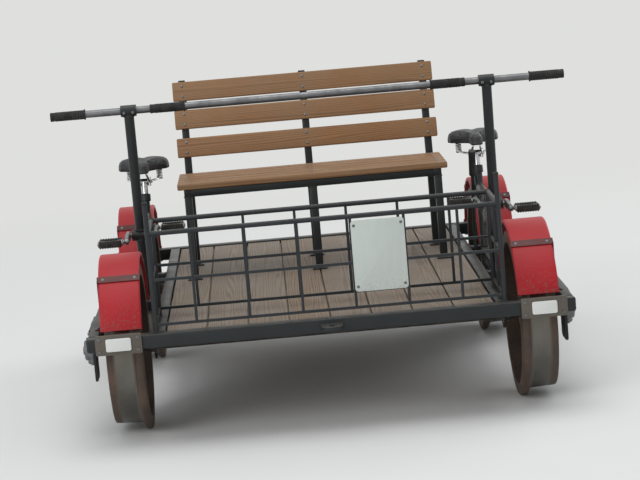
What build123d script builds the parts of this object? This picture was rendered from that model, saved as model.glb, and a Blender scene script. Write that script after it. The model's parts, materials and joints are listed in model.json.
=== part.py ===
from build123d import *
import math
import os

os.makedirs("parts", exist_ok=True)

# A five-seat railway handcar driven by pedals, of standard gauge. All sizes in millimetres.
# X runs across the car, with +X on the right when the car is seen from its front.
# Y runs along the car and the front faces -Y. Z is up from the flange tips, which the car rests on.

# Fits and clearances
SEAT_FIT = 0.02
RUNNING_FIT = 0.05
SOFT_GAP = 0.3
WHEEL_CLEARANCE = 33.0
SILL_CLEARANCE = 13.0
AXLE_CLEARANCE = 28.0
CUT_OVERRUN = 1.0

# Gauge and wheels
BACK_TO_BACK = 1360.0
WHEELBASE = 1400.0
WHEEL_WIDTH = 135.0
TREAD_RADIUS = 280.0
TREAD_TAPER = 5.4
TREAD_BEVEL = 5.0
FLANGE_HEIGHT = 27.0
FLANGE_THICKNESS = 28.0
FLANGE_BEVEL = 9.0
FLANGE_ROOT = 6.0
RIM_THICKNESS = 18.0
WEB_THICKNESS = 10.0
WEB_HOLES = 6
WEB_HOLE_RADIUS = 42.0
WEB_HOLE_PITCH_RADIUS = 158.0
HUB_RADIUS = 48.0
HUB_LENGTH = 80.0
AXLE_RADIUS = 19.0
AXLE_SHOULDER = 6.0
JOURNAL_RADIUS = 15.0

# Frame
SILL_WIDTH = 40.0
SILL_HEIGHT = 60.0
BEAM_SIZE = 50.0
RUNNER_WIDTH = 40.0
RUNNER_HEIGHT = 60.0
RUNNER_TO_CHAIN = 12.0
CROSS_WIDTH = 40.0
CROSS_HEIGHT = 30.0
CROSS_COUNT = 5
CROSS_PITCH = 430.0
OUTRIGGER_SIZE = 40.0
BOARD_COUNT = 8
BOARD_THICKNESS = 24.0
BOARD_GAP = 6.0

# Axle guards and bearings
GUARD_THICKNESS = 8.0
GUARD_TOP_WIDTH = 300.0
GUARD_TOP_GAP = 8.0
GUARD_WING = 16.0
GUARD_LEG_WIDTH = 132.0
GUARD_DROP = 112.0
GUARD_CORNER = 22.0
GUARD_HOLE_RADIUS = 24.0
BEARING_FLANGE = 104.0
BEARING_FLANGE_THICKNESS = 12.0
BEARING_CORNER = 20.0
BEARING_BOSS_RADIUS = 38.0
BEARING_LENGTH = 34.0
AXLE_STUB = 5.0

# End plates, reflectors and couplings
END_PLATE_WIDTH = 165.0
END_PLATE_HEIGHT = 72.0
END_PLATE_THICKNESS = 8.0
END_PLATE_INSET = 28.5
REFLECTOR_WIDTH = 90.0
REFLECTOR_HEIGHT = 46.0
REFLECTOR_THICKNESS = 8.0
REFLECTOR_BEVEL = 2.0
COUPLING_WIDTH = 80.0
COUPLING_THICKNESS = 12.0
COUPLING_HOLE_RADIUS = 11.0
COUPLING_REACH = 36.0

# Mudguards
MUDGUARD_WIDTH = 150.0
MUDGUARD_GAP = 41.0
MUDGUARD_SHEET = 3.0
MUDGUARD_LIP = 14.0
MUDGUARD_END_RISE = 13.0
STRAP_WIDTH = 30.0
STRAP_THICKNESS = 4.0
STRAP_ANGLE = 55.0

# Basket
BASKET_POST_OFFSET = 10.0
BASKET_INSET = 38.0
BASKET_DEPTH = 352.0
BASKET_HEIGHT = 353.0
BASKET_TUBE_RADIUS = 9.0
BASKET_BAR = 10.0
BASKET_BAR_PITCH = 190.0
BASKET_BARS_PER_HALF = 3
BASKET_LEVELS = (26.0, 186.0)
POST_RISE = 112.0
SIGN_WIDTH = 190.0
SIGN_HEIGHT = 255.0
SIGN_THICKNESS = 3.0
SIGN_DROP = 16.0

# Pedal stations
STATION_TO_CHAIN = 42.0
PEDAL_AXIS_HEIGHT = 241.0
SHELL_RADIUS = 22.0
SHELL_LENGTH = 68.0
SPINDLE_RADIUS = 9.0
MAST_RADIUS = 19.0
STRUT_RADIUS = 17.0
STATION_RAIL = 40.0
WELD_DEPTH = 1.0
GUSSET_REACH = 85.0
GUSSET_THICKNESS = 6.0
SEAT_TUBE_INSET = 30.0
SEAT_TUBE_HEIGHT = 326.0
SEAT_TUBE_ANGLE = 16.7
SEAT_TUBE_RADIUS = 17.0
COLLAR_WALL = 5.0
COLLAR_HEIGHT = 26.0
SEAT_POST_RADIUS = 13.5
SEAT_POST_INSERT = 60.0

# Saddles
SADDLE_HEIGHT = 471.0
SADDLE_THICKNESS = 52.0
SADDLE_LENGTH = 262.0
SADDLE_WIDTH = 232.0
SADDLE_NOSE = 56.0
SADDLE_NECK = 8.0
SADDLE_SHOULDER = 70.0
SADDLE_FLANK = 81.0
SADDLE_TAIL = 40.0
SADDLE_BEVEL = 12.0
SADDLE_SETBACK = 8.0
SPRING_RADIUS = 14.0
SPRING_HEIGHT = 42.0
SPRING_SPREAD = 62.0
SPRING_INSET = 46.0
SADDLE_RAIL_RADIUS = 4.5
SADDLE_CLAMP_WIDTH = 58.0
SADDLE_CLAMP_LENGTH = 40.0
SADDLE_CLAMP_HEIGHT = 24.0

# Cranks, pedals and chains
CRANK_LENGTH = 170.0
CRANK_THICKNESS = 14.0
CRANK_ROOT_RADIUS = 17.0
CRANK_TIP_RADIUS = 12.0
CRANK_CLEARANCE = 6.0
CHAIN_CLEARANCE = 5.0
RING_BOSS_RADIUS = 15.0
WHEEL_TO_CHAIN = 32.0
CHAIN_PITCH = 12.7
CHAIN_LINKS = 124
CHAIN_FIT_STEPS = 60
CHAIN_WIDTH = 8.0
CHAIN_HALF_HEIGHT = 4.2
CHAIN_WAIST = 1.0
CHAIN_NOTCH = 1.6
MESH_GAP = 0.5
RING_TEETH = 36
SPROCKET_TEETH = 24
TOOTH_THICKNESS = 3.0
RING_HOLES = 5
RING_HOLE_RADIUS = 14.0
RING_HOLE_PITCH_RADIUS = 41.0
SPROCKET_HUB_WALL = 13.0
SPROCKET_HUB_GAP = 6.0
PEDAL_WIDTH = 92.0
PEDAL_LENGTH = 94.0
PEDAL_THICKNESS = 28.0
PEDAL_BLOCK_LENGTH = 26.0
PEDAL_BLOCK_BEVEL = 6.0
PEDAL_PLATE = 3.0
PEDAL_PLATE_HEIGHT = 20.0
PEDAL_PLATE_INSET = 4.0
PEDAL_PIN_RADIUS = 6.0
PEDAL_BARREL_WALL = 5.0
PEDAL_GAP = 8.0

# Handlebar
BAR_RADIUS = 14.0
BAR_HEIGHT = 729.0
BAR_AHEAD = 45.0
BAR_OVERHANG = 300.0
GRIP_LENGTH = 135.0
GRIP_WALL = 4.0
INNER_GRIP_OFFSET = 150.0
CLAMP_LENGTH = 60.0
CLAMP_WALL = 8.0

# Bench
BENCH_HEIGHT = 386.0
BENCH_WIDTH = 1090.0
BENCH_TUBE = 30.0
BENCH_OVERHANG = 40.0
BENCH_FRONT_Y = 130.0
BENCH_DEPTH = 385.0
BACK_HEIGHT = 380.0
BACK_LEAN = 95.0
SEAT_SLATS = 5
SLAT_THICKNESS = 25.0
SLAT_GAP = 12.0
SLAT_BEVEL = 4.0
SEAT_NOSING = 10.0
BACK_SLATS = 3
BACK_SLAT_THICKNESS = 20.0
BACK_SLAT_GAP = 36.0
BACK_SLAT_RISE = 62.0
BACK_SLAT_TOP_GAP = 6.0
FOOT_SIZE = 60.0
FOOT_THICKNESS = 6.0

# Brake
BRAKE_SHAFT_AHEAD = 24.0
BRAKE_SHAFT_DROP = 32.0
BRAKE_SHAFT_RADIUS = 12.0
BRAKE_SHAFT_END = 20.0
BRAKE_ARM_THICKNESS = 16.0
BRAKE_ARM_HEIGHT = 28.0
BRAKE_SHOE_GAP = 5.5
BRAKE_SHOE_THICKNESS = 26.0
BRAKE_SHOE_WIDTH = 70.0
BRAKE_SHOE_OFFSET = 4.0
BRAKE_SHOE_ARC = 26.0
HANGER_THICKNESS = 8.0
HANGER_TOP_WIDTH = 60.0
HANGER_FOOT_WIDTH = 40.0
HANGER_TAIL = 12.0
LEVER_TO_CHAIN = 3.0
LEVER_RADIUS = 8.0
LEVER_BOSS_LENGTH = 24.0
LEVER_KNEE_RISE = 60.0
LEVER_BEND_RADIUS = 120.0
LEVER_HEIGHT = 416.0
LEVER_LEAN = 146.0
LEVER_GRIP_RADIUS = 13.0
LEVER_GRIP_LENGTH = 110.0

# Places and sizes worked out from the values above
AXLE_Z = TREAD_RADIUS + FLANGE_HEIGHT
FLANGE_RADIUS = AXLE_Z
RIM_RADIUS = TREAD_RADIUS - RIM_THICKNESS
WHEEL_BACK = BACK_TO_BACK / 2
WHEEL_FACE = WHEEL_BACK + WHEEL_WIDTH
WHEEL_MIDDLE = WHEEL_BACK + WHEEL_WIDTH / 2
FRONT_AXLE_Y = -WHEELBASE / 2
REAR_AXLE_Y = WHEELBASE / 2

SILL_INNER = WHEEL_FACE + SILL_CLEARANCE
HALF_WIDTH = SILL_INNER + SILL_WIDTH
SILL_END_Y = REAR_AXLE_Y + FLANGE_RADIUS + WHEEL_CLEARANCE
HALF_LENGTH = SILL_END_Y + BEAM_SIZE
FRAME_TOP = AXLE_Z + AXLE_RADIUS + AXLE_CLEARANCE + RUNNER_HEIGHT
BEAM_MIDDLE_Z = FRAME_TOP - BEAM_SIZE / 2
CHAIN_LINE = WHEEL_BACK - WHEEL_TO_CHAIN
RUNNER_OUTER = CHAIN_LINE - CHAIN_WIDTH / 2 - RUNNER_TO_CHAIN
RUNNER_X = RUNNER_OUTER - RUNNER_WIDTH / 2
RUNNER_INNER = RUNNER_OUTER - RUNNER_WIDTH
RUNNER_BOTTOM = FRAME_TOP - RUNNER_HEIGHT
DECK_TOP = RUNNER_BOTTOM + CROSS_HEIGHT + BOARD_THICKNESS
OUTRIGGER_INNER_Y = REAR_AXLE_Y - FLANGE_RADIUS - WHEEL_CLEARANCE - OUTRIGGER_SIZE
OUTRIGGER_Y = OUTRIGGER_INNER_Y + OUTRIGGER_SIZE / 2
GUARD_OUTER = HALF_WIDTH + GUARD_THICKNESS
BEARING_OUTER = GUARD_OUTER + BEARING_LENGTH
AXLE_END = BEARING_OUTER + AXLE_STUB

END_PLATE_X = HALF_WIDTH - END_PLATE_INSET - END_PLATE_WIDTH / 2

MUDGUARD_RADIUS = FLANGE_RADIUS + MUDGUARD_GAP
MUDGUARD_INNER_X = WHEEL_MIDDLE - MUDGUARD_WIDTH / 2
MUDGUARD_OUTER_X = WHEEL_MIDDLE + MUDGUARD_WIDTH / 2

BASKET_X = RUNNER_X + BASKET_POST_OFFSET
BASKET_FRONT_Y = -HALF_LENGTH + BASKET_INSET
BASKET_REAR_Y = BASKET_FRONT_Y + BASKET_DEPTH
BASKET_RAIL_Z = FRAME_TOP + BASKET_HEIGHT

STATION_X = CHAIN_LINE + STATION_TO_CHAIN
PEDAL_AXIS_Z = FRAME_TOP + PEDAL_AXIS_HEIGHT
SHELL_END = SHELL_LENGTH / 2
INNER_ARM_X = CHAIN_LINE - CHAIN_WIDTH / 2 - CHAIN_CLEARANCE - CRANK_THICKNESS
OUTER_ARM_X = STATION_X + SHELL_END + CRANK_CLEARANCE
RING_RADIUS = CHAIN_PITCH / (2 * math.sin(math.pi / RING_TEETH))
SPROCKET_RADIUS = CHAIN_PITCH / (2 * math.sin(math.pi / SPROCKET_TEETH))
SEAT_TUBE_FOOT_Y = OUTRIGGER_INNER_Y - SEAT_TUBE_INSET
SEAT_TUBE_TOP_Z = FRAME_TOP + SEAT_TUBE_HEIGHT
SADDLE_BASE = FRAME_TOP + SADDLE_HEIGHT - SADDLE_THICKNESS
SADDLE_RAIL_Z = SADDLE_BASE - SOFT_GAP - SPRING_HEIGHT
BAR_Z = FRAME_TOP + BAR_HEIGHT
BAR_HALF_LENGTH = STATION_X + BAR_OVERHANG

BENCH_TOP = FRAME_TOP + BENCH_HEIGHT
BENCH_SEAT_Z = BENCH_TOP - SLAT_THICKNESS
BENCH_RAIL_Z = BENCH_SEAT_Z - BENCH_TUBE
BENCH_SIDE_X = BENCH_WIDTH / 2 - BENCH_OVERHANG
BENCH_REAR_Y = BENCH_FRONT_Y + BENCH_DEPTH
BACK_TOP = BENCH_TOP + BACK_HEIGHT

BRAKE_SHAFT_Y = OUTRIGGER_INNER_Y - BRAKE_SHAFT_AHEAD
BRAKE_SHAFT_Z = RUNNER_BOTTOM - BRAKE_SHAFT_DROP
LEVER_X = CHAIN_LINE + LEVER_TO_CHAIN
LEVER_TOP_Z = FRAME_TOP + LEVER_HEIGHT

SIDES = {"right": 1, "left": -1}
ENDS = {"front": -1, "rear": 1}
MIRROR_X = Plane.YZ
MIRROR_Y = Plane.XZ


# Helpers
def block(x, y, z):
    """A box between the low and high limits in each direction."""
    centre = Pos((x[0] + x[1]) / 2, (y[0] + y[1]) / 2, (z[0] + z[1]) / 2)
    return centre * Box(x[1] - x[0], y[1] - y[0], z[1] - z[0])


def centred(middle, size):
    """The low and high limit of a length about its middle."""
    return (middle - size / 2, middle + size / 2)


def rod(start, end, radius):
    """A round bar between two points."""
    run = Vector(*end) - Vector(*start)
    bar = Cylinder(radius, run.length, align=(Align.CENTER, Align.CENTER, Align.MIN))
    return Plane(origin=start, z_dir=run) * bar


def cross_rod(x, y, z, radius):
    """A round bar along X between two limits."""
    return rod((x[0], y, z), (x[1], y, z), radius)


def plate_across(outline, x):
    """A plate with its outline given in Y and Z, between two limits of X."""
    face = Plane(origin=(x[0], 0, 0), x_dir=(0, 1, 0), z_dir=(1, 0, 0)) * outline
    return extrude(face, amount=x[1] - x[0])


def polygon(*points):
    """A flat face with straight edges."""
    return make_face(Polyline(*points, close=True))


def solids_of(*shapes):
    """Every solid in the shapes, as one flat list."""
    return [solid for shape in shapes for solid in shape.solids()]


def both_sides(*shapes):
    """The right-hand shapes with their left-hand mirror images."""
    return solids_of(*shapes, *[mirror(shape, about=MIRROR_X) for shape in shapes])


def both_ends(*shapes):
    """The front shapes with their mirror images at the rear."""
    return solids_of(*shapes, *[mirror(shape, about=MIRROR_Y) for shape in shapes])


def on_side(shape, side):
    """A right-hand shape placed on the right (1) or mirrored to the left (-1)."""
    return shape if side > 0 else mirror(shape, about=MIRROR_X)


def at_end(shape, end):
    """A front shape placed at the front (-1) or mirrored to the rear (1)."""
    return shape if end < 0 else mirror(shape, about=MIRROR_Y)


def save(name, *shapes):
    """Write the solids of one sub-part to its own file."""
    solids = solids_of(*shapes)
    export_step(solids[0] if len(solids) == 1 else Compound(solids), f"parts/{name}.step")


# Frame
def frame_sill():
    """Outer longitudinal tube, between the two end beams."""
    return block(
        (SILL_INNER, HALF_WIDTH),
        (-SILL_END_Y, SILL_END_Y),
        (FRAME_TOP - SILL_HEIGHT, FRAME_TOP),
    )


def frame_beam():
    """Front cross beam with the coupling plate on the middle of its face."""
    beam = block(
        (-HALF_WIDTH, HALF_WIDTH),
        (-HALF_LENGTH, -SILL_END_Y),
        (FRAME_TOP - BEAM_SIZE, FRAME_TOP),
    )
    hole_y = -HALF_LENGTH - COUPLING_REACH
    tongue = Pos(0, hole_y / 2 - HALF_LENGTH / 2) * Rectangle(COUPLING_WIDTH, COUPLING_REACH)
    outline = tongue + Pos(0, hole_y) * Circle(COUPLING_WIDTH / 2)
    outline -= Pos(0, hole_y) * Circle(COUPLING_HOLE_RADIUS)
    plate = extrude(outline, amount=COUPLING_THICKNESS)
    return beam + Pos(0, 0, BEAM_MIDDLE_Z - COUPLING_THICKNESS / 2) * plate


def centre_frame():
    """Two runners under the deck, their cross members and the outriggers to the sills."""
    frame = None
    for side in SIDES.values():
        runner = block(
            centred(side * RUNNER_X, RUNNER_WIDTH),
            (-SILL_END_Y, SILL_END_Y),
            (RUNNER_BOTTOM, FRAME_TOP),
        )
        frame = runner if frame is None else frame + runner
        for end in ENDS.values():
            inner, outer = sorted((side * RUNNER_OUTER, side * SILL_INNER))
            frame += block(
                (inner, outer),
                centred(end * OUTRIGGER_Y, OUTRIGGER_SIZE),
                (FRAME_TOP - OUTRIGGER_SIZE, FRAME_TOP),
            )
    for number in range(CROSS_COUNT):
        frame += block(
            (-RUNNER_INNER, RUNNER_INNER),
            centred((number - (CROSS_COUNT - 1) / 2) * CROSS_PITCH, CROSS_WIDTH),
            (RUNNER_BOTTOM, RUNNER_BOTTOM + CROSS_HEIGHT),
        )
    return frame


def deck_boards():
    """Boards laid lengthwise between the runners, on the cross members."""
    free_width = 2 * RUNNER_INNER - (BOARD_COUNT + 1) * BOARD_GAP
    width = free_width / BOARD_COUNT
    boards = []
    for number in range(BOARD_COUNT):
        low = -RUNNER_INNER + BOARD_GAP + number * (width + BOARD_GAP)
        board = block(
            (low, low + width),
            (-SILL_END_Y + BOARD_GAP, SILL_END_Y - BOARD_GAP),
            (DECK_TOP - BOARD_THICKNESS, DECK_TOP),
        )
        boards.append(board)
    return boards


# Axle guards and bearings
def axle_guard():
    """Plate on the outer face of the sill that carries the axle bearing."""
    top = GUARD_TOP_WIDTH / 2
    leg = GUARD_LEG_WIDTH / 2
    sill_bottom = FRAME_TOP - SILL_HEIGHT
    right_half = [
        (top, FRAME_TOP - GUARD_TOP_GAP),
        (top, sill_bottom + GUARD_WING),
        (leg, sill_bottom - leg / 2),
        (leg, AXLE_Z - GUARD_DROP),
    ]
    left_half = [(-y, z) for y, z in reversed(right_half)]
    outline = polygon(*right_half, *left_half)
    feet = outline.vertices().sort_by(Axis.Y)[:2]
    outline = fillet(feet, GUARD_CORNER)
    outline -= Pos(0, AXLE_Z) * Circle(GUARD_HOLE_RADIUS)
    return Pos(0, FRONT_AXLE_Y, 0) * plate_across(outline, (HALF_WIDTH, GUARD_OUTER))


def axle_bearing():
    """Four-bolt flange bearing on the outer face of the axle guard."""
    flange = RectangleRounded(BEARING_FLANGE, BEARING_FLANGE, BEARING_CORNER)
    foot = plate_across(flange, (GUARD_OUTER, GUARD_OUTER + BEARING_FLANGE_THICKNESS))
    housing = foot + cross_rod((GUARD_OUTER, BEARING_OUTER), 0, 0, BEARING_BOSS_RADIUS)
    bore = (GUARD_OUTER - CUT_OVERRUN, BEARING_OUTER + CUT_OVERRUN)
    housing -= cross_rod(bore, 0, 0, JOURNAL_RADIUS + RUNNING_FIT)
    return Pos(0, FRONT_AXLE_Y, AXLE_Z) * housing


# Wheels and axles
def wheel():
    """Disc wheel with a flanged rim, turned about the X axis, at the right-hand side."""
    web_in, web_out = centred(WHEEL_WIDTH / 2, WEB_THICKNESS)
    hub_in, hub_out = centred(WHEEL_WIDTH / 2, HUB_LENGTH)
    tread_low = TREAD_RADIUS - TREAD_TAPER / 2
    tread_high = TREAD_RADIUS + TREAD_TAPER / 2
    flange_crown = FLANGE_THICKNESS / 2
    bore = AXLE_RADIUS + SEAT_FIT
    profile = [
        (0, FLANGE_RADIUS - FLANGE_BEVEL),
        (flange_crown - FLANGE_BEVEL, FLANGE_RADIUS),
        (flange_crown, FLANGE_RADIUS),
        (flange_crown + FLANGE_BEVEL, FLANGE_RADIUS - FLANGE_BEVEL),
        (FLANGE_THICKNESS + FLANGE_ROOT, tread_high),
        (WHEEL_WIDTH - TREAD_BEVEL, tread_low),
        (WHEEL_WIDTH, tread_low - TREAD_BEVEL),
        (WHEEL_WIDTH, RIM_RADIUS),
        (web_out, RIM_RADIUS),
        (web_out, HUB_RADIUS),
        (hub_out, HUB_RADIUS),
        (hub_out, bore),
        (hub_in, bore),
        (hub_in, HUB_RADIUS),
        (web_in, HUB_RADIUS),
        (web_in, RIM_RADIUS),
        (0, RIM_RADIUS),
    ]
    disc = revolve(polygon(*profile), axis=Axis.X)
    for number in range(WEB_HOLES):
        angle = 2 * math.pi * number / WEB_HOLES
        y = WEB_HOLE_PITCH_RADIUS * math.cos(angle)
        z = WEB_HOLE_PITCH_RADIUS * math.sin(angle)
        disc -= cross_rod((web_in - CUT_OVERRUN, web_out + CUT_OVERRUN), y, z, WEB_HOLE_RADIUS)
    return Pos(WHEEL_BACK, FRONT_AXLE_Y, AXLE_Z) * disc


def axle():
    """Axle with a smaller journal at each end."""
    shoulder = WHEEL_MIDDLE + HUB_LENGTH / 2 + AXLE_SHOULDER
    body = cross_rod((-shoulder, shoulder), FRONT_AXLE_Y, AXLE_Z, AXLE_RADIUS)
    return body + cross_rod((-AXLE_END, AXLE_END), FRONT_AXLE_Y, AXLE_Z, JOURNAL_RADIUS)


# Chain drive
def chain_geometry():
    """Distance between the pedal axis and the driven axle that the chain's links give."""
    distance = CHAIN_PITCH * CHAIN_LINKS / 4
    for _ in range(CHAIN_FIT_STEPS):
        slope = math.asin((RING_RADIUS - SPROCKET_RADIUS) / distance)
        on_ring = (math.pi + 2 * slope) / (2 * math.pi / RING_TEETH)
        on_sprocket = (math.pi - 2 * slope) / (2 * math.pi / SPROCKET_TEETH)
        straight = (CHAIN_LINKS - on_ring - on_sprocket) * CHAIN_PITCH / 2
        distance = straight / math.cos(slope)
    return distance, slope, on_ring, on_sprocket, straight


CENTRES, CHAIN_SLOPE, LINKS_ON_RING, LINKS_ON_SPROCKET, STRAIGHT_RUN = chain_geometry()
PEDAL_AXIS_Y = FRONT_AXLE_Y + math.sqrt(CENTRES**2 - (PEDAL_AXIS_Z - AXLE_Z) ** 2)
LINE_ANGLE = math.atan2(PEDAL_AXIS_Z - AXLE_Z, PEDAL_AXIS_Y - FRONT_AXLE_Y)
BAR_Y = PEDAL_AXIS_Y - BAR_AHEAD


def chain_point(links, height):
    """A point at a number of links along the loop, at a height outside the pitch line.

    The loop lies with the ring at the origin and the sprocket at -CENTRES on the first axis.
    It starts where the upper run leaves the sprocket and goes over the ring first.
    """
    run = STRAIGHT_RUN / CHAIN_PITCH
    upper_normal = (-math.sin(CHAIN_SLOPE), math.cos(CHAIN_SLOPE))
    along = (math.cos(CHAIN_SLOPE), math.sin(CHAIN_SLOPE))
    if links <= run:
        reach = SPROCKET_RADIUS + height
        start = (-CENTRES + reach * upper_normal[0], reach * upper_normal[1])
        step = links * CHAIN_PITCH
        return (start[0] + step * along[0], start[1] + step * along[1])
    links -= run
    if links <= LINKS_ON_RING:
        turn = math.pi / 2 + CHAIN_SLOPE - links * 2 * math.pi / RING_TEETH
        reach = RING_RADIUS + height
        return (reach * math.cos(turn), reach * math.sin(turn))
    links -= LINKS_ON_RING
    if links <= run:
        reach = RING_RADIUS + height
        start = (reach * upper_normal[0], -reach * upper_normal[1])
        step = links * CHAIN_PITCH
        return (start[0] - step * along[0], start[1] + step * along[1])
    links -= run
    turn = -math.pi / 2 - CHAIN_SLOPE - links * 2 * math.pi / SPROCKET_TEETH
    reach = SPROCKET_RADIUS + height
    return (-CENTRES + reach * math.cos(turn), reach * math.sin(turn))


def placed_loop(face, x):
    """A flat outline of the chain's plane, turned to the line of centres and given a width."""
    plane = Plane(origin=(x[0], PEDAL_AXIS_Y, PEDAL_AXIS_Z), x_dir=(0, 1, 0), z_dir=(1, 0, 0))
    turned = plane * Rot(0, 0, math.degrees(LINE_ANGLE)) * face
    return extrude(turned, amount=x[1] - x[0])


def chain():
    """Closed roller chain as one loop, full at every roller and notched for every tooth."""
    outer = []
    inner = []
    for link in range(CHAIN_LINKS):
        outer.append(chain_point(link, CHAIN_HALF_HEIGHT))
        outer.append(chain_point(link + 0.5, CHAIN_HALF_HEIGHT - CHAIN_WAIST))
        inner.append(chain_point(link, -CHAIN_HALF_HEIGHT))
        inner.append(chain_point(link + 0.5, CHAIN_NOTCH))
    return placed_loop(polygon(*outer) - polygon(*inner), centred(CHAIN_LINE, CHAIN_WIDTH))


def toothed_outline(teeth, radius, links_before, centre):
    """Outline of a toothed wheel whose gaps hold the chain's rollers."""
    first = chain_point(math.ceil(links_before), 0)
    start = math.atan2(first[1], first[0] - centre)
    points = []
    for tooth in range(teeth):
        angle = start + tooth * 2 * math.pi / teeth
        gap = radius - CHAIN_HALF_HEIGHT - MESH_GAP
        tip = radius + CHAIN_NOTCH - MESH_GAP
        points.append((centre + gap * math.cos(angle), gap * math.sin(angle)))
        angle += math.pi / teeth
        points.append((centre + tip * math.cos(angle), tip * math.sin(angle)))
    return polygon(*points)


def chainring():
    """Toothed ring on the pedal spindle with round windows."""
    outline = toothed_outline(RING_TEETH, RING_RADIUS, STRAIGHT_RUN / CHAIN_PITCH, 0)
    for number in range(RING_HOLES):
        turn = Rot(0, 0, 360 / RING_HOLES * number)
        outline -= turn * Pos(RING_HOLE_PITCH_RADIUS, 0) * Circle(RING_HOLE_RADIUS)
    outline -= Circle(SPINDLE_RADIUS + SEAT_FIT)
    return placed_loop(outline, centred(CHAIN_LINE, TOOTH_THICKNESS))


def drive_sprocket():
    """Toothed sprocket with its hub on the driven axle, beside the wheel."""
    before = 2 * STRAIGHT_RUN / CHAIN_PITCH + LINKS_ON_RING
    outline = toothed_outline(SPROCKET_TEETH, SPROCKET_RADIUS, before, -CENTRES)
    teeth = placed_loop(outline, centred(CHAIN_LINE, TOOTH_THICKNESS))
    hub = (CHAIN_LINE, WHEEL_BACK - SPROCKET_HUB_GAP)
    solid = teeth + cross_rod(hub, FRONT_AXLE_Y, AXLE_Z, AXLE_RADIUS + SPROCKET_HUB_WALL)
    return solid - cross_rod((RUNNER_OUTER, WHEEL_BACK), FRONT_AXLE_Y, AXLE_Z, AXLE_RADIUS + SEAT_FIT)


# Cranks and pedals
def crank_arm(x, direction):
    """Flat tapered arm from the pedal axis, forwards (-1) or rearwards (1)."""
    tip_y = direction * CRANK_LENGTH
    outline = Circle(CRANK_ROOT_RADIUS) + Pos(tip_y, 0) * Circle(CRANK_TIP_RADIUS)
    outline += polygon(
        (0, CRANK_ROOT_RADIUS),
        (tip_y, CRANK_TIP_RADIUS),
        (tip_y, -CRANK_TIP_RADIUS),
        (0, -CRANK_ROOT_RADIUS),
    )
    return Pos(0, PEDAL_AXIS_Y, PEDAL_AXIS_Z) * plate_across(outline, (x, x + CRANK_THICKNESS))


def crankset():
    """Spindle with both crank arms and the pins that carry the pedals."""
    outer_face = OUTER_ARM_X + CRANK_THICKNESS
    ring_face = CHAIN_LINE - TOOTH_THICKNESS / 2
    solid = crank_arm(OUTER_ARM_X, -1) + crank_arm(INNER_ARM_X, 1)
    solid += cross_rod((INNER_ARM_X, outer_face), PEDAL_AXIS_Y, PEDAL_AXIS_Z, SPINDLE_RADIUS)
    solid += cross_rod((INNER_ARM_X, ring_face), PEDAL_AXIS_Y, PEDAL_AXIS_Z, RING_BOSS_RADIUS)
    reach = PEDAL_GAP + PEDAL_WIDTH
    pins = (
        ((OUTER_ARM_X, outer_face + reach), -CRANK_LENGTH),
        ((INNER_ARM_X - reach, INNER_ARM_X + CRANK_THICKNESS), CRANK_LENGTH),
    )
    for x, y in pins:
        solid += cross_rod(x, PEDAL_AXIS_Y + y, PEDAL_AXIS_Z, PEDAL_PIN_RADIUS)
    return solid


def pedal(low_x, y):
    """Block pedal: two rubber-covered bars and end plates about a bored barrel."""
    high_x = low_x + PEDAL_WIDTH
    solid = cross_rod((low_x, high_x), 0, 0, PEDAL_PIN_RADIUS + PEDAL_BARREL_WALL)
    for plate_x in (low_x, high_x - PEDAL_PLATE):
        solid += block(
            (plate_x, plate_x + PEDAL_PLATE),
            centred(0, PEDAL_LENGTH - 2 * PEDAL_PLATE_INSET),
            centred(0, PEDAL_PLATE_HEIGHT),
        )
    for direction in (-1, 1):
        middle = direction * (PEDAL_LENGTH - PEDAL_BLOCK_LENGTH) / 2
        bar = block(
            (low_x + PEDAL_PLATE, high_x - PEDAL_PLATE),
            centred(middle, PEDAL_BLOCK_LENGTH),
            centred(0, PEDAL_THICKNESS),
        )
        solid += chamfer(bar.edges().filter_by(Axis.X), PEDAL_BLOCK_BEVEL)
    bore = (low_x - CUT_OVERRUN, high_x + CUT_OVERRUN)
    solid -= cross_rod(bore, 0, 0, PEDAL_PIN_RADIUS + RUNNING_FIT)
    return Pos(0, y, PEDAL_AXIS_Z) * solid


# Pedal stations
def seat_axis(z):
    """The point of the seat tube's axis at a height."""
    lean = math.tan(math.radians(SEAT_TUBE_ANGLE))
    return (STATION_X, SEAT_TUBE_FOOT_Y + (z - FRAME_TOP) * lean, z)


def mast_gusset():
    """Triangular plate in front of the mast's foot."""
    low = FRAME_TOP - WELD_DEPTH
    outline = polygon(
        (PEDAL_AXIS_Y - GUSSET_REACH, low),
        (PEDAL_AXIS_Y, FRAME_TOP + GUSSET_REACH),
        (PEDAL_AXIS_Y, low),
    )
    return plate_across(outline, centred(STATION_X, GUSSET_THICKNESS))


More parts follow.
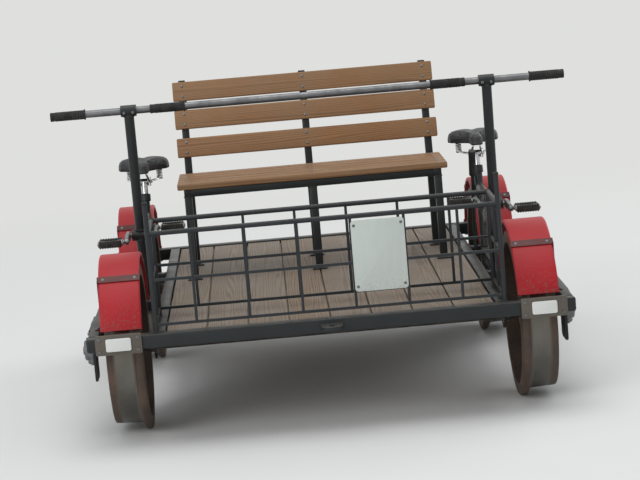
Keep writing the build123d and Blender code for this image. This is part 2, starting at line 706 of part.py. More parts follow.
def pedal_frame():
    """Welded stand of one pedal place: rail, mast, pedal shell, strut, seat tube and bar clamp."""
    axis = (STATION_X, PEDAL_AXIS_Y, PEDAL_AXIS_Z)
    solid = block(
        centred(STATION_X, STATION_RAIL),
        (-OUTRIGGER_INNER_Y, OUTRIGGER_INNER_Y),
        (FRAME_TOP - STATION_RAIL, FRAME_TOP),
    )
    solid += mast_gusset()
    solid += rod((STATION_X, PEDAL_AXIS_Y, FRAME_TOP - WELD_DEPTH), axis, MAST_RADIUS)
    solid += rod(axis, (STATION_X, BAR_Y, BAR_Z), MAST_RADIUS)
    solid += rod(axis, seat_axis(PEDAL_AXIS_Z), STRUT_RADIUS)
    seat_foot = seat_axis(FRAME_TOP - SEAT_TUBE_RADIUS / 2)
    solid += rod(seat_foot, seat_axis(SEAT_TUBE_TOP_Z), SEAT_TUBE_RADIUS)
    collar = (seat_axis(SEAT_TUBE_TOP_Z - COLLAR_HEIGHT), seat_axis(SEAT_TUBE_TOP_Z))
    solid += rod(*collar, SEAT_TUBE_RADIUS + COLLAR_WALL)
    solid += cross_rod(centred(STATION_X, SHELL_LENGTH), PEDAL_AXIS_Y, PEDAL_AXIS_Z, SHELL_RADIUS)
    solid += cross_rod(centred(STATION_X, CLAMP_LENGTH), BAR_Y, BAR_Z, BAR_RADIUS + CLAMP_WALL)
    shell_bore = centred(STATION_X, SHELL_LENGTH + 2 * CUT_OVERRUN)
    solid -= cross_rod(shell_bore, PEDAL_AXIS_Y, PEDAL_AXIS_Z, SPINDLE_RADIUS + RUNNING_FIT)
    clamp_bore = centred(STATION_X, CLAMP_LENGTH + 2 * CUT_OVERRUN)
    solid -= cross_rod(clamp_bore, BAR_Y, BAR_Z, BAR_RADIUS + SEAT_FIT)
    post_bore = (
        seat_axis(SEAT_TUBE_TOP_Z - SEAT_POST_INSERT - CUT_OVERRUN),
        seat_axis(SEAT_TUBE_TOP_Z + SEAT_TUBE_RADIUS),
    )
    return solid - rod(*post_bore, SEAT_POST_RADIUS + SEAT_FIT)


# Saddles
SADDLE_Y = seat_axis(SADDLE_BASE)[1] + SADDLE_SETBACK
SADDLE_REAR = SADDLE_Y + SADDLE_LENGTH / 2
SADDLE_FRONT = SADDLE_Y - SADDLE_LENGTH / 2


def saddle():
    """Broad sprung saddle, wide at the rear with a narrow nose at the front."""
    half = SADDLE_WIDTH / 2
    nose_half = SADDLE_NOSE / 2
    points = [
        (nose_half, SADDLE_FRONT + nose_half),
        (nose_half + SADDLE_NECK, SADDLE_REAR - SADDLE_FLANK - SADDLE_SHOULDER),
        (half - SADDLE_NECK, SADDLE_REAR - SADDLE_FLANK),
        (half, SADDLE_REAR - SADDLE_TAIL),
        (half - SADDLE_TAIL, SADDLE_REAR),
    ]
    mirrored = [(-x, y) for x, y in reversed(points)]
    tip = ThreePointArc(mirrored[-1], (0, SADDLE_FRONT), points[0])
    face = make_face(Polyline(*points, *mirrored) + tip)
    body = Pos(STATION_X, 0, SADDLE_BASE) * extrude(face, amount=SADDLE_THICKNESS)
    top = body.faces().sort_by(Axis.Z)[-1]
    return chamfer(top.edges(), SADDLE_BEVEL)


def saddle_post():
    """Seat pillar with its clamp, the saddle's two rails and the springs at their rear ends."""
    clamp_y = seat_axis(SADDLE_RAIL_Z)[1]
    spring_y = SADDLE_REAR - SPRING_INSET
    foot = seat_axis(SEAT_TUBE_TOP_Z - SEAT_POST_INSERT)
    solid = rod(foot, seat_axis(SADDLE_RAIL_Z), SEAT_POST_RADIUS)
    solid += block(
        centred(STATION_X, SADDLE_CLAMP_WIDTH),
        centred(clamp_y, SADDLE_CLAMP_LENGTH),
        centred(SADDLE_RAIL_Z, SADDLE_CLAMP_HEIGHT),
    )
    grip = SADDLE_CLAMP_WIDTH / 2 - SADDLE_RAIL_RADIUS
    nose_z = SADDLE_BASE - SOFT_GAP - SADDLE_RAIL_RADIUS
    for side in SIDES.values():
        clamped = (STATION_X + side * grip, clamp_y, SADDLE_RAIL_Z)
        sprung = (STATION_X + side * SPRING_SPREAD, spring_y, SADDLE_RAIL_Z)
        nose = (STATION_X + side * SADDLE_NOSE / 4, SADDLE_FRONT + SADDLE_NOSE, nose_z)
        solid += rod(clamped, sprung, SADDLE_RAIL_RADIUS)
        solid += rod(clamped, nose, SADDLE_RAIL_RADIUS)
        solid += rod(sprung, (sprung[0], spring_y, SADDLE_BASE - SOFT_GAP), SPRING_RADIUS)
    return solid


# Handlebar
def handlebar():
    """One straight bar across the whole car, held by the masts of both stands."""
    return cross_rod((-BAR_HALF_LENGTH, BAR_HALF_LENGTH), BAR_Y, BAR_Z, BAR_RADIUS)


def hand_grips():
    """Rubber sleeves at the bar's ends and inside each mast."""
    grips = []
    for middle in (BAR_HALF_LENGTH - GRIP_LENGTH / 2, STATION_X - INNER_GRIP_OFFSET):
        sleeve = cross_rod(centred(middle, GRIP_LENGTH), BAR_Y, BAR_Z, BAR_RADIUS + GRIP_WALL)
        bore = centred(middle, GRIP_LENGTH + 2 * CUT_OVERRUN)
        grips.append(sleeve - cross_rod(bore, BAR_Y, BAR_Z, BAR_RADIUS + SEAT_FIT))
    return both_sides(*grips)


# Mudguards
def mudguard():
    """Curved guard over the front right wheel, with a lip along each edge."""
    inner = MUDGUARD_RADIUS - MUDGUARD_SHEET
    lip = MUDGUARD_RADIUS - MUDGUARD_LIP
    section = polygon(
        (0, lip),
        (0, MUDGUARD_RADIUS),
        (MUDGUARD_WIDTH, MUDGUARD_RADIUS),
        (MUDGUARD_WIDTH, lip),
        (MUDGUARD_WIDTH - MUDGUARD_SHEET, lip),
        (MUDGUARD_WIDTH - MUDGUARD_SHEET, inner),
        (MUDGUARD_SHEET, inner),
        (MUDGUARD_SHEET, lip),
    )
    end_height = FRAME_TOP + MUDGUARD_END_RISE - AXLE_Z
    rise = math.degrees(math.asin(end_height / MUDGUARD_RADIUS))
    arc = revolve(section, axis=Axis.X, revolution_arc=180 - 2 * rise)
    return Pos(MUDGUARD_INNER_X, FRONT_AXLE_Y, AXLE_Z) * Rot(rise, 0, 0) * arc


def mudguard_strap(direction):
    """Flat bar over the guard and down to the sill, before (-1) or behind (1) the axle."""
    angle = math.radians(STRAP_ANGLE)
    outer = MUDGUARD_OUTER_X + STRAP_THICKNESS
    band = block(
        (MUDGUARD_INNER_X, outer),
        centred(0, STRAP_WIDTH),
        (MUDGUARD_RADIUS, MUDGUARD_RADIUS + STRAP_THICKNESS),
    )
    band = Pos(0, FRONT_AXLE_Y, AXLE_Z) * Rot(-direction * (90 - STRAP_ANGLE), 0, 0) * band
    leg_y = centred(FRONT_AXLE_Y + direction * MUDGUARD_RADIUS * math.cos(angle), STRAP_WIDTH)
    leg_top = AXLE_Z + MUDGUARD_RADIUS * math.sin(angle)
    leg = block((MUDGUARD_OUTER_X, outer), leg_y, (FRAME_TOP, leg_top))
    foot_x = (MUDGUARD_OUTER_X, SILL_INNER + SILL_WIDTH / 2)
    return band + leg + block(foot_x, leg_y, (FRAME_TOP, FRAME_TOP + STRAP_THICKNESS))


# Basket
def basket_bar(x, y, z):
    """Square bar along the one direction that is given by two limits, the others by their middles."""
    limits = [place if isinstance(place, tuple) else centred(place, BASKET_BAR) for place in (x, y, z)]
    return block(*limits)


def basket_frame():
    """Basket of round posts and rails with square bars, open at the top."""
    front = BASKET_FRONT_Y
    rear = BASKET_REAR_Y
    levels = [FRAME_TOP + height for height in BASKET_LEVELS]
    upright = (levels[0], BASKET_RAIL_Z)
    across = (-BASKET_X, BASKET_X)
    along = (front, rear)
    solid = cross_rod(across, front, BASKET_RAIL_Z, BASKET_TUBE_RADIUS)
    solid += cross_rod(across, rear, BASKET_RAIL_Z, BASKET_TUBE_RADIUS)
    for side in SIDES.values():
        x = side * BASKET_X
        solid += rod((x, front, FRAME_TOP), (x, front, BASKET_RAIL_Z + POST_RISE), BASKET_TUBE_RADIUS)
        solid += rod((x, rear, FRAME_TOP), (x, rear, BASKET_RAIL_Z), BASKET_TUBE_RADIUS)
        solid += rod((x, front, BASKET_RAIL_Z), (x, rear, BASKET_RAIL_Z), BASKET_TUBE_RADIUS)
        solid += basket_bar(x, (front + rear) / 2, upright)
        for level in levels:
            solid += basket_bar(x, along, level)
        for number in range(BASKET_BARS_PER_HALF):
            bar_x = side * (number + 0.5) * BASKET_BAR_PITCH
            solid += basket_bar(bar_x, front, upright)
            solid += basket_bar(bar_x, rear, upright)
    for level in levels:
        solid += basket_bar(across, front, level)
        solid += basket_bar(across, rear, level)
    return solid


def sign_plate():
    """Blank plate hung on two front bars of the basket."""
    face_y = BASKET_FRONT_Y - BASKET_BAR / 2
    top = BASKET_RAIL_Z - SIGN_DROP
    return block(
        centred(BASKET_BAR_PITCH, SIGN_WIDTH),
        (face_y - SIGN_THICKNESS, face_y),
        (top - SIGN_HEIGHT, top),
    )


# End plates and reflectors
def end_plate():
    """Plate on the beam's face in front of the wheel."""
    return block(
        centred(END_PLATE_X, END_PLATE_WIDTH),
        (-HALF_LENGTH - END_PLATE_THICKNESS, -HALF_LENGTH),
        centred(BEAM_MIDDLE_Z, END_PLATE_HEIGHT),
    )


def reflector():
    """Rectangular reflector on the end plate."""
    face_y = -HALF_LENGTH - END_PLATE_THICKNESS
    body = block(
        centred(END_PLATE_X, REFLECTOR_WIDTH),
        (face_y - REFLECTOR_THICKNESS, face_y),
        centred(BEAM_MIDDLE_Z, REFLECTOR_HEIGHT),
    )
    front = body.faces().sort_by(Axis.Y)[0]
    return chamfer(front.edges(), REFLECTOR_BEVEL)


# Bench
def back_post(x):
    """Sloping post of the backrest, rising from the rear of the seat rail."""
    front_y, rear_y = centred(BENCH_REAR_Y, BENCH_TUBE)
    outline = polygon(
        (front_y, BENCH_RAIL_Z),
        (rear_y, BENCH_RAIL_Z),
        (rear_y + BACK_LEAN, BACK_TOP),
        (front_y + BACK_LEAN, BACK_TOP),
    )
    return plate_across(outline, centred(x, BENCH_TUBE))


def bench_frame():
    """Three welded side frames joined by cross tubes, standing on the deck."""
    half = BENCH_TUBE / 2
    rail_z = (BENCH_RAIL_Z, BENCH_SEAT_Z)
    across = (-BENCH_SIDE_X, BENCH_SIDE_X)
    solid = block(across, centred(BENCH_FRONT_Y, BENCH_TUBE), rail_z)
    solid += block(across, centred(BENCH_REAR_Y, BENCH_TUBE), rail_z)
    for x in (-BENCH_SIDE_X, 0, BENCH_SIDE_X):
        tube = centred(x, BENCH_TUBE)
        solid += block(tube, (BENCH_FRONT_Y - half, BENCH_REAR_Y + half), rail_z)
        solid += back_post(x)
        for y in (BENCH_FRONT_Y, BENCH_REAR_Y):
            solid += block(tube, centred(y, BENCH_TUBE), (DECK_TOP, BENCH_SEAT_Z - half))
            foot_z = (DECK_TOP, DECK_TOP + FOOT_THICKNESS)
            solid += block(centred(x, FOOT_SIZE), centred(y, FOOT_SIZE), foot_z)
    return solid


def bench_seat_slats():
    """Wooden slats of the seat."""
    low = BENCH_FRONT_Y - BENCH_TUBE / 2 - SEAT_NOSING
    high = BENCH_REAR_Y - BENCH_TUBE / 2 - SLAT_GAP / 2
    width = (high - low - (SEAT_SLATS - 1) * SLAT_GAP) / SEAT_SLATS
    slats = []
    for number in range(SEAT_SLATS):
        start = low + number * (width + SLAT_GAP)
        slat = block(centred(0, BENCH_WIDTH), (start, start + width), (BENCH_SEAT_Z, BENCH_TOP))
        slats.append(chamfer(slat.edges().filter_by(Axis.X), SLAT_BEVEL))
    return slats


def bench_back_slats():
    """Wooden slats of the backrest, on the front of its sloping posts."""
    lean = BACK_LEAN / (BACK_TOP - BENCH_RAIL_Z)
    tilt = Rot(-math.degrees(math.atan(lean)), 0, 0)
    low = BENCH_TOP + BACK_SLAT_RISE
    high = BACK_TOP - BACK_SLAT_TOP_GAP
    width = (high - low - (BACK_SLATS - 1) * BACK_SLAT_GAP) / BACK_SLATS
    anchor = (Align.CENTER, Align.MAX, Align.CENTER)
    slats = []
    for number in range(BACK_SLATS):
        middle = low + width / 2 + number * (width + BACK_SLAT_GAP)
        face_y = BENCH_REAR_Y - BENCH_TUBE / 2 + lean * (middle - BENCH_RAIL_Z)
        slat = Box(BENCH_WIDTH, BACK_SLAT_THICKNESS, width, align=anchor)
        slat = chamfer(slat.edges().filter_by(Axis.X), SLAT_BEVEL)
        slats.append(Pos(0, face_y, middle) * tilt * slat)
    return slats


# Brake
def brake_shaft():
    """Cross shaft under the deck with an arm to the shoe of each rear wheel."""
    y = BRAKE_SHAFT_Y
    z = BRAKE_SHAFT_Z
    end = WHEEL_MIDDLE + BRAKE_SHAFT_END
    half = BRAKE_ARM_HEIGHT / 2
    solid = cross_rod((-end, end), y, z, BRAKE_SHAFT_RADIUS)
    back = REAR_AXLE_Y - TREAD_RADIUS - BRAKE_SHOE_GAP - BRAKE_SHOE_THICKNESS
    arm = polygon((y, z + half), (back, AXLE_Z + half), (back, AXLE_Z - half), (y, z - half))
    for side in SIDES.values():
        solid += plate_across(arm, centred(side * WHEEL_MIDDLE, BRAKE_ARM_THICKNESS))
    return solid


def brake_hangers():
    """Plates under the runners that carry the brake shaft."""
    top = HANGER_TOP_WIDTH / 2
    foot = HANGER_FOOT_WIDTH / 2
    low = BRAKE_SHAFT_Z - BRAKE_SHAFT_RADIUS - HANGER_TAIL
    outline = polygon(
        (BRAKE_SHAFT_Y - top, RUNNER_BOTTOM),
        (BRAKE_SHAFT_Y + top, RUNNER_BOTTOM),
        (BRAKE_SHAFT_Y + foot, low),
        (BRAKE_SHAFT_Y - foot, low),
    )
    outline -= Pos(BRAKE_SHAFT_Y, BRAKE_SHAFT_Z) * Circle(BRAKE_SHAFT_RADIUS + RUNNING_FIT)
    return both_sides(plate_across(outline, centred(RUNNER_X, HANGER_THICKNESS)))


def brake_shoe():
    """Curved block that the arm presses on the tread of the rear wheel."""
    inner = TREAD_RADIUS + BRAKE_SHOE_GAP
    middle = inner + BRAKE_SHOE_THICKNESS / 2
    face = Pos(0, middle) * Rectangle(BRAKE_SHOE_WIDTH, BRAKE_SHOE_THICKNESS)
    shoe = revolve(face, axis=Axis.X, revolution_arc=BRAKE_SHOE_ARC)
    place = Pos(WHEEL_MIDDLE + BRAKE_SHOE_OFFSET, REAR_AXLE_Y, AXLE_Z)
    return place * Rot(180 - BRAKE_SHOE_ARC / 2, 0, 0) * shoe


def brake_lever():
    """Hand lever on the inner side of the right-hand stand."""
    boss_radius = BRAKE_SHAFT_RADIUS + LEVER_RADIUS
    foot = (LEVER_X, BRAKE_SHAFT_Y, BRAKE_SHAFT_Z)
    knee = (LEVER_X, BRAKE_SHAFT_Y, FRAME_TOP + LEVER_KNEE_RISE)
    top = (LEVER_X, BRAKE_SHAFT_Y - LEVER_LEAN, LEVER_TOP_Z)
    back = (Vector(*knee) - Vector(*top)).normalized()
    grip_foot = tuple(Vector(*top) + back * LEVER_GRIP_LENGTH)
    solid = cross_rod(centred(LEVER_X, LEVER_BOSS_LENGTH), BRAKE_SHAFT_Y, BRAKE_SHAFT_Z, boss_radius)
    bent = FilletPolyline(foot, knee, top, radius=LEVER_BEND_RADIUS)
    solid += sweep(Plane(origin=foot) * Circle(LEVER_RADIUS), path=bent)
    solid += rod(grip_foot, top, LEVER_GRIP_RADIUS)
    bore = centred(LEVER_X, LEVER_BOSS_LENGTH + 2 * CUT_OVERRUN)
    return solid - cross_rod(bore, BRAKE_SHAFT_Y, BRAKE_SHAFT_Z, BRAKE_SHAFT_RADIUS + SEAT_FIT)


def build():
    """Make every sub-part and write it to its file."""
    for name, side in SIDES.items():
        save(f"frame_sill_{name}", on_side(frame_sill(), side))
    for name, end in ENDS.items():
        save(f"frame_beam_{name}", at_end(frame_beam(), end))
    save("centre_frame", centre_frame())
    save("deck_boards", *deck_boards())

    save("axle_guards", *both_ends(*both_sides(axle_guard())))
    save("axle_bearings", *both_ends(*both_sides(axle_bearing())))
    for end_name, end in ENDS.items():
        save(f"axle_{end_name}", at_end(axle(), end))
        for side_name, side in SIDES.items():
            save(f"wheel_{end_name}_{side_name}", at_end(on_side(wheel(), side), end))
    save("drive_sprockets", *both_sides(drive_sprocket()))

    for end_name, end in ENDS.items():
        save(f"end_plates_{end_name}", *[at_end(plate, end) for plate in both_sides(end_plate())])
        save(f"reflectors_{end_name}", *[at_end(lens, end) for lens in both_sides(reflector())])
        for side_name, side in SIDES.items():
            save(f"mudguard_{end_name}_{side_name}", at_end(on_side(mudguard(), side), end))
    save("mudguard_straps", *both_ends(*both_sides(mudguard_strap(-1), mudguard_strap(1))))

    save("basket_frame", basket_frame())
    save("sign_plate", sign_plate())

    outer_low = OUTER_ARM_X + CRANK_THICKNESS + PEDAL_GAP
    inner_low = INNER_ARM_X - PEDAL_GAP - PEDAL_WIDTH
    for name, side in SIDES.items():
        save(f"pedal_frame_{name}", on_side(pedal_frame(), side))
        save(f"saddle_post_{name}", on_side(saddle_post(), side))
        save(f"saddle_{name}", on_side(saddle(), side))
        save(f"crankset_{name}", on_side(crankset(), side))
        save(f"chainring_{name}", on_side(chainring(), side))
        save(f"chain_{name}", on_side(chain(), side))
        save(f"pedal_{name}_outer", on_side(pedal(outer_low, PEDAL_AXIS_Y - CRANK_LENGTH), side))
        save(f"pedal_{name}_inner", on_side(pedal(inner_low, PEDAL_AXIS_Y + CRANK_LENGTH), side))

    save("handlebar", handlebar())
    save("hand_grips", *hand_grips())

    save("bench_frame", bench_frame())
    save("bench_seat_slats", *bench_seat_slats())
    save("bench_back_slats", *bench_back_slats())

    save("brake_shaft", brake_shaft())
    save("brake_hangers", *brake_hangers())
    save("brake_shoes", *both_sides(brake_shoe()))
    save("brake_lever", brake_lever())


build()
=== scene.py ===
import json
import math

import bmesh
import bpy
from mathutils import Matrix, Vector


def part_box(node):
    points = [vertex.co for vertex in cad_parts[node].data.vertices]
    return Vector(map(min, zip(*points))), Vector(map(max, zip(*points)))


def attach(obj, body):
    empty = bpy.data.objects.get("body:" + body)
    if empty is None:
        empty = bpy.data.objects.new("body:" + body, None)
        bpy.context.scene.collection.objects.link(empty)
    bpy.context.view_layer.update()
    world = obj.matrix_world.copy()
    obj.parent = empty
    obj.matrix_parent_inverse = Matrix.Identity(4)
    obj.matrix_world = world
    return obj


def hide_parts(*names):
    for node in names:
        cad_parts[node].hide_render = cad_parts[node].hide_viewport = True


# Looks of a pedal-driven railway handcar. Metres; +X right seen from the front, -Y front, +Z up.
# A finish that is shared by several pieces is made once, under the record's name for it.

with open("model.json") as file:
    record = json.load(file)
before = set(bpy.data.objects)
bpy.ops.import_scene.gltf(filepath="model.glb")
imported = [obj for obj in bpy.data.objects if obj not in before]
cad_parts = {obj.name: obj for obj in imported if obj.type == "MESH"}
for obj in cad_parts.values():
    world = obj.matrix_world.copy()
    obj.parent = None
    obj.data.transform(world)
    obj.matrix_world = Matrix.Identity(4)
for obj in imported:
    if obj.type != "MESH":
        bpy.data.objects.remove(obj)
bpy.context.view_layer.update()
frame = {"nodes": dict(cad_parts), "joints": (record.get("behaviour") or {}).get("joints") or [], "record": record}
NODES = frame["nodes"]
JOINT_AT = {joint["name"]: Vector(joint["pos_m"]) for joint in frame["joints"]}
SLOT_OF = {row["node"]: row["material_slot"] for row in frame["record"]["subparts"]}
SIDES = {"right": 1, "left": -1}
ENDS = {"front": -1, "rear": 1}
CORNERS = [(side, end) for side in SIDES.values() for end in ENDS.values()]
FULL_TURN = 2 * math.pi


# Shader helpers
def srgb(code):
    """Linear colour of an sRGB hex value."""
    channels = [int(code[start:start + 2], 16) / 255 for start in (1, 3, 5)]
    linear = [c / 12.92 if c <= 0.04045 else ((c + 0.055) / 1.055) ** 2.4 for c in channels]
    return (*linear, 1.0)


def per_metre(size_mm):
    """Texture scale at which a pattern repeats about every size_mm on Object coordinates."""
    return 1000 / size_mm


def add(tree, kind, inputs=None, **settings):
    """Add a shader node with its settings, and a value or a link for each input named."""
    made = tree.nodes.new("ShaderNode" + kind)
    for name, value in settings.items():
        setattr(made, name, value)
    for name, value in (inputs or {}).items():
        if isinstance(value, bpy.types.NodeSocket):
            tree.links.new(value, made.inputs[name])
        else:
            made.inputs[name].default_value = value
    return made


def start(name, **constants):
    """A new material with its shader, its Object coordinates and the shader's constant values."""
    material = bpy.data.materials.new(name)
    material.use_nodes = True
    tree = material.node_tree
    shader = tree.nodes["Principled BSDF"]
    for label, value in constants.items():
        shader.inputs[label.replace("_", " ")].default_value = value
    place = add(tree, "TexCoord").outputs["Object"]
    return material, tree, shader, place


def shade(tree, shader, colour, roughness, height, depth_mm):
    """Link a colour, a roughness and a bump of a real depth to the shader."""
    bump = add(tree, "Bump", {"Height": height, "Strength": 1.0, "Distance": depth_mm / 1000})
    tree.links.new(colour, shader.inputs["Base Color"])
    tree.links.new(roughness, shader.inputs["Roughness"])
    tree.links.new(bump.outputs["Normal"], shader.inputs["Normal"])


def clouded(tree, place, size_mm, detail, roughness, levels, result=(0.0, 1.0)):
    """Cloudy noise of about a size, and what its levels between two bounds are turned into."""
    pattern = {"Vector": place, "Scale": per_metre(size_mm), "Detail": detail, "Roughness": roughness}
    noise = add(tree, "TexNoise", pattern).outputs["Fac"]
    bounds = {"From Min": levels[0], "From Max": levels[1], "To Min": result[0], "To Max": result[1]}
    return noise, add(tree, "MapRange", {"Value": noise, **bounds}).outputs[0]


def facing_up(tree, least, amount):
    """Mask that grows to an amount on faces that look up."""
    normal = add(tree, "NewGeometry").outputs["Normal"]
    up = add(tree, "SeparateXYZ", {0: normal}).outputs["Z"]
    bounds = {"From Min": least, "From Max": 1.0, "To Max": amount}
    return add(tree, "MapRange", {"Value": up, **bounds}).outputs[0]


def worn_edges(tree, place, reach_mm):
    """Mask that is 1 on sharp outer edges, broken up by grit of about 6 mm."""
    eased = add(tree, "Bevel", {"Radius": reach_mm / 1000}, samples=4).outputs["Normal"]
    flat = add(tree, "NewGeometry").outputs["Normal"]
    turn = add(tree, "VectorMath", {0: eased, 1: flat}, operation="DOT_PRODUCT").outputs["Value"]
    edge = add(tree, "MapRange", {"Value": turn, "From Min": 0.97, "From Max": 0.8}).outputs[0]
    broken = clouded(tree, place, 6, 6.0, 0.7, (0.5, 0.62))[1]
    return add(tree, "Math", {0: edge, 1: broken}, operation="MULTIPLY").outputs[0]


def settled_dust(tree, place, amount):
    """Mask of dust that lies on faces that look up, in drifts of about 60 mm."""
    level = facing_up(tree, 0.2, amount)
    patchy = clouded(tree, place, 60, 8.0, 0.65, (0.35, 0.65))[1]
    return add(tree, "Math", {0: level, 1: patchy}, operation="MULTIPLY").outputs[0]


# Painted steel
def enamel(name, colour, paler, gloss_range, dust, reach_mm=3.0):
    """Sprayed enamel on steel: an even film, a little faded, dusty on top and rubbed through at edges."""
    material, tree, shader, place = start(name, Specular_IOR_Level=0.32)
    clouds, sheen = clouded(tree, place, 120, 5.0, 0.5, (0.3, 0.7), gloss_range)
    film = add(tree, "Mix", {0: clouds, 6: srgb(colour), 7: srgb(paler)}, data_type="RGBA").outputs[2]
    lying = settled_dust(tree, place, dust)
    dusty = add(tree, "Mix", {0: lying, 6: film, 7: srgb("#6f6a60")}, data_type="RGBA").outputs[2]
    worn = worn_edges(tree, place, reach_mm)
    bare = add(tree, "Mix", {0: worn, 6: dusty, 7: srgb("#6d5b4c")}, data_type="RGBA").outputs[2]
    peel = add(tree, "TexNoise", {"Vector": place, "Scale": per_metre(5), "Detail": 2.0}).outputs["Fac"]
    shade(tree, shader, bare, sheen, peel, 0.25)
    return material


def cast_enamel(name):
    """Grey machine enamel brushed over sand-cast iron: grainy, thick and oily round the shaft."""
    material, tree, shader, place = start(name, Coat_Weight=0.08)
    sand = add(tree, "TexNoise", {"Vector": place, "Scale": per_metre(3), "Detail": 4.0, "Roughness": 0.6})
    oil, spread = clouded(tree, place, 45, 6.0, 0.5, (0.45, 0.6))
    stained = add(tree, "Mix", {0: spread, 6: srgb("#6f7375"), 7: srgb("#3b3a37")}, data_type="RGBA")
    worn = worn_edges(tree, place, 2.5)
    bare = add(tree, "Mix", {0: worn, 6: stained.outputs[2], 7: srgb("#7c6a58")}, data_type="RGBA")
    sheen = add(tree, "MapRange", {"Value": oil, "To Min": 0.65, "To Max": 0.35}).outputs[0]
    shade(tree, shader, bare.outputs[2], sheen, sand.outputs["Fac"], 0.5)
    return material


# Bare steel
TREAD_RADIUS = 0.28
WORN_BAND_X = 0.752


def rolled_wheel_steel(name):
    """Rolled wheel steel: thin brown rust, oil creeping out from the hub, a bright band on the tread."""
    material, tree, shader, place = start(name, Metallic=0.0)
    axle = JOINT_AT["wheels_rear"]
    x, y, z = add(tree, "SeparateXYZ", {0: place}).outputs
    across = add(tree, "Math", {0: y}, operation="ABSOLUTE").outputs[0]
    local_y = add(tree, "Math", {0: across, 1: abs(axle.y)}, operation="SUBTRACT").outputs[0]
    local_z = add(tree, "Math", {0: z, 1: axle.z}, operation="SUBTRACT").outputs[0]
    flat = add(tree, "CombineXYZ", {"X": local_y, "Y": local_z}).outputs[0]
    reach = add(tree, "VectorMath", {0: flat}, operation="LENGTH").outputs["Value"]

    wander = add(tree, "TexNoise", {"Vector": place, "Scale": per_metre(90), "Detail": 4.0}).outputs["Fac"]
    grainy = {"Vector": place, "Scale": per_metre(3), "Detail": 7.0, "Roughness": 0.72}
    scale = add(tree, "TexNoise", grainy).outputs["Fac"]
    mixed = add(tree, "Math", {0: wander, 1: 0.45, 2: scale}, operation="MULTIPLY_ADD").outputs[0]
    rust = add(tree, "ValToRGB", {"Fac": mixed})
    ramp = rust.color_ramp
    ramp.elements[0].position = 0.52
    ramp.elements[0].color = srgb("#2f2722")
    ramp.elements[1].position = 0.92
    ramp.elements[1].color = srgb("#6b5140")
    ramp.elements.new(0.72).color = srgb("#483a31")
    rust = rust.outputs["Color"]

    turn = add(tree, "Math", {0: local_y, 1: local_z}, operation="ARCTAN2").outputs[0]
    fan = add(tree, "CombineXYZ", {"X": turn, "Y": reach}).outputs[0]
    rays = {"Vector": fan, "Scale": 9.0, "Detail": 5.0, "Roughness": 0.6}
    runs = add(tree, "TexNoise", rays).outputs["Fac"]
    crept = add(tree, "Math", {0: runs, 1: -0.16, 2: reach}, operation="MULTIPLY_ADD").outputs[0]
    oiled = add(tree, "MapRange", {"Value": crept, "From Min": 0.055, "From Max": -0.005}).outputs[0]
    greasy = add(tree, "Mix", {0: oiled, 6: rust, 7: srgb("#211d1a")}, data_type="RGBA").outputs[2]

    low = TREAD_RADIUS - 0.007
    on_tread = add(tree, "MapRange", {"Value": reach, "From Min": low, "From Max": low + 0.004}).outputs[0]
    side = add(tree, "Math", {0: x}, operation="ABSOLUTE").outputs[0]
    off_band = add(tree, "Math", {0: side, 1: WORN_BAND_X}, operation="SUBTRACT").outputs[0]
    apart = add(tree, "Math", {0: off_band}, operation="ABSOLUTE").outputs[0]
    ragged = add(tree, "Math", {0: scale, 1: 0.022, 2: apart}, operation="MULTIPLY_ADD").outputs[0]
    band = add(tree, "MapRange", {"Value": ragged, "From Min": 0.052, "From Max": 0.040}).outputs[0]
    worn = add(tree, "Math", {0: on_tread, 1: band}, operation="MULTIPLY").outputs[0]
    grey = add(tree, "Mix", {0: wander, 6: srgb("#7d7b76"), 7: srgb("#5f5a52")}, data_type="RGBA").outputs[2]
    colour = add(tree, "Mix", {0: worn, 6: greasy, 7: grey}, data_type="RGBA").outputs[2]

    wet = add(tree, "MapRange", {"Value": oiled, "To Min": 0.66, "To Max": 0.4}).outputs[0]
    sheen = add(tree, "Mix", {0: worn, 2: wet, 3: 0.3}).outputs[0]
    tree.links.new(worn, shader.inputs["Metallic"])
    shade(tree, shader, colour, sheen, scale, 0.18)
    return material


def bar_metal(name, light, dark, roughness, streak_mm, metallic=1.0, depth_mm=0.05):
    """Drawn or turned metal: fine marks across the part, dull where it is handled or oiled."""
    material, tree, shader, place = start(name, Metallic=metallic)
    stains, spread = clouded(tree, place, 50, 6.0, 0.6, (0.38, 0.66))
    colour = add(tree, "Mix", {0: spread, 6: srgb(light), 7: srgb(dark)}, data_type="RGBA").outputs[2]
    marks = add(tree, "TexNoise", {"Vector": place, "Scale": per_metre(streak_mm), "Detail": 3.0})
    bounds = {"From Min": 0.3, "From Max": 0.7, "To Min": roughness, "To Max": roughness + 0.16}
    sheen = add(tree, "MapRange", {"Value": stains, **bounds}).outputs[0]
    shade(tree, shader, colour, sheen, marks.outputs["Fac"], depth_mm)
    return material


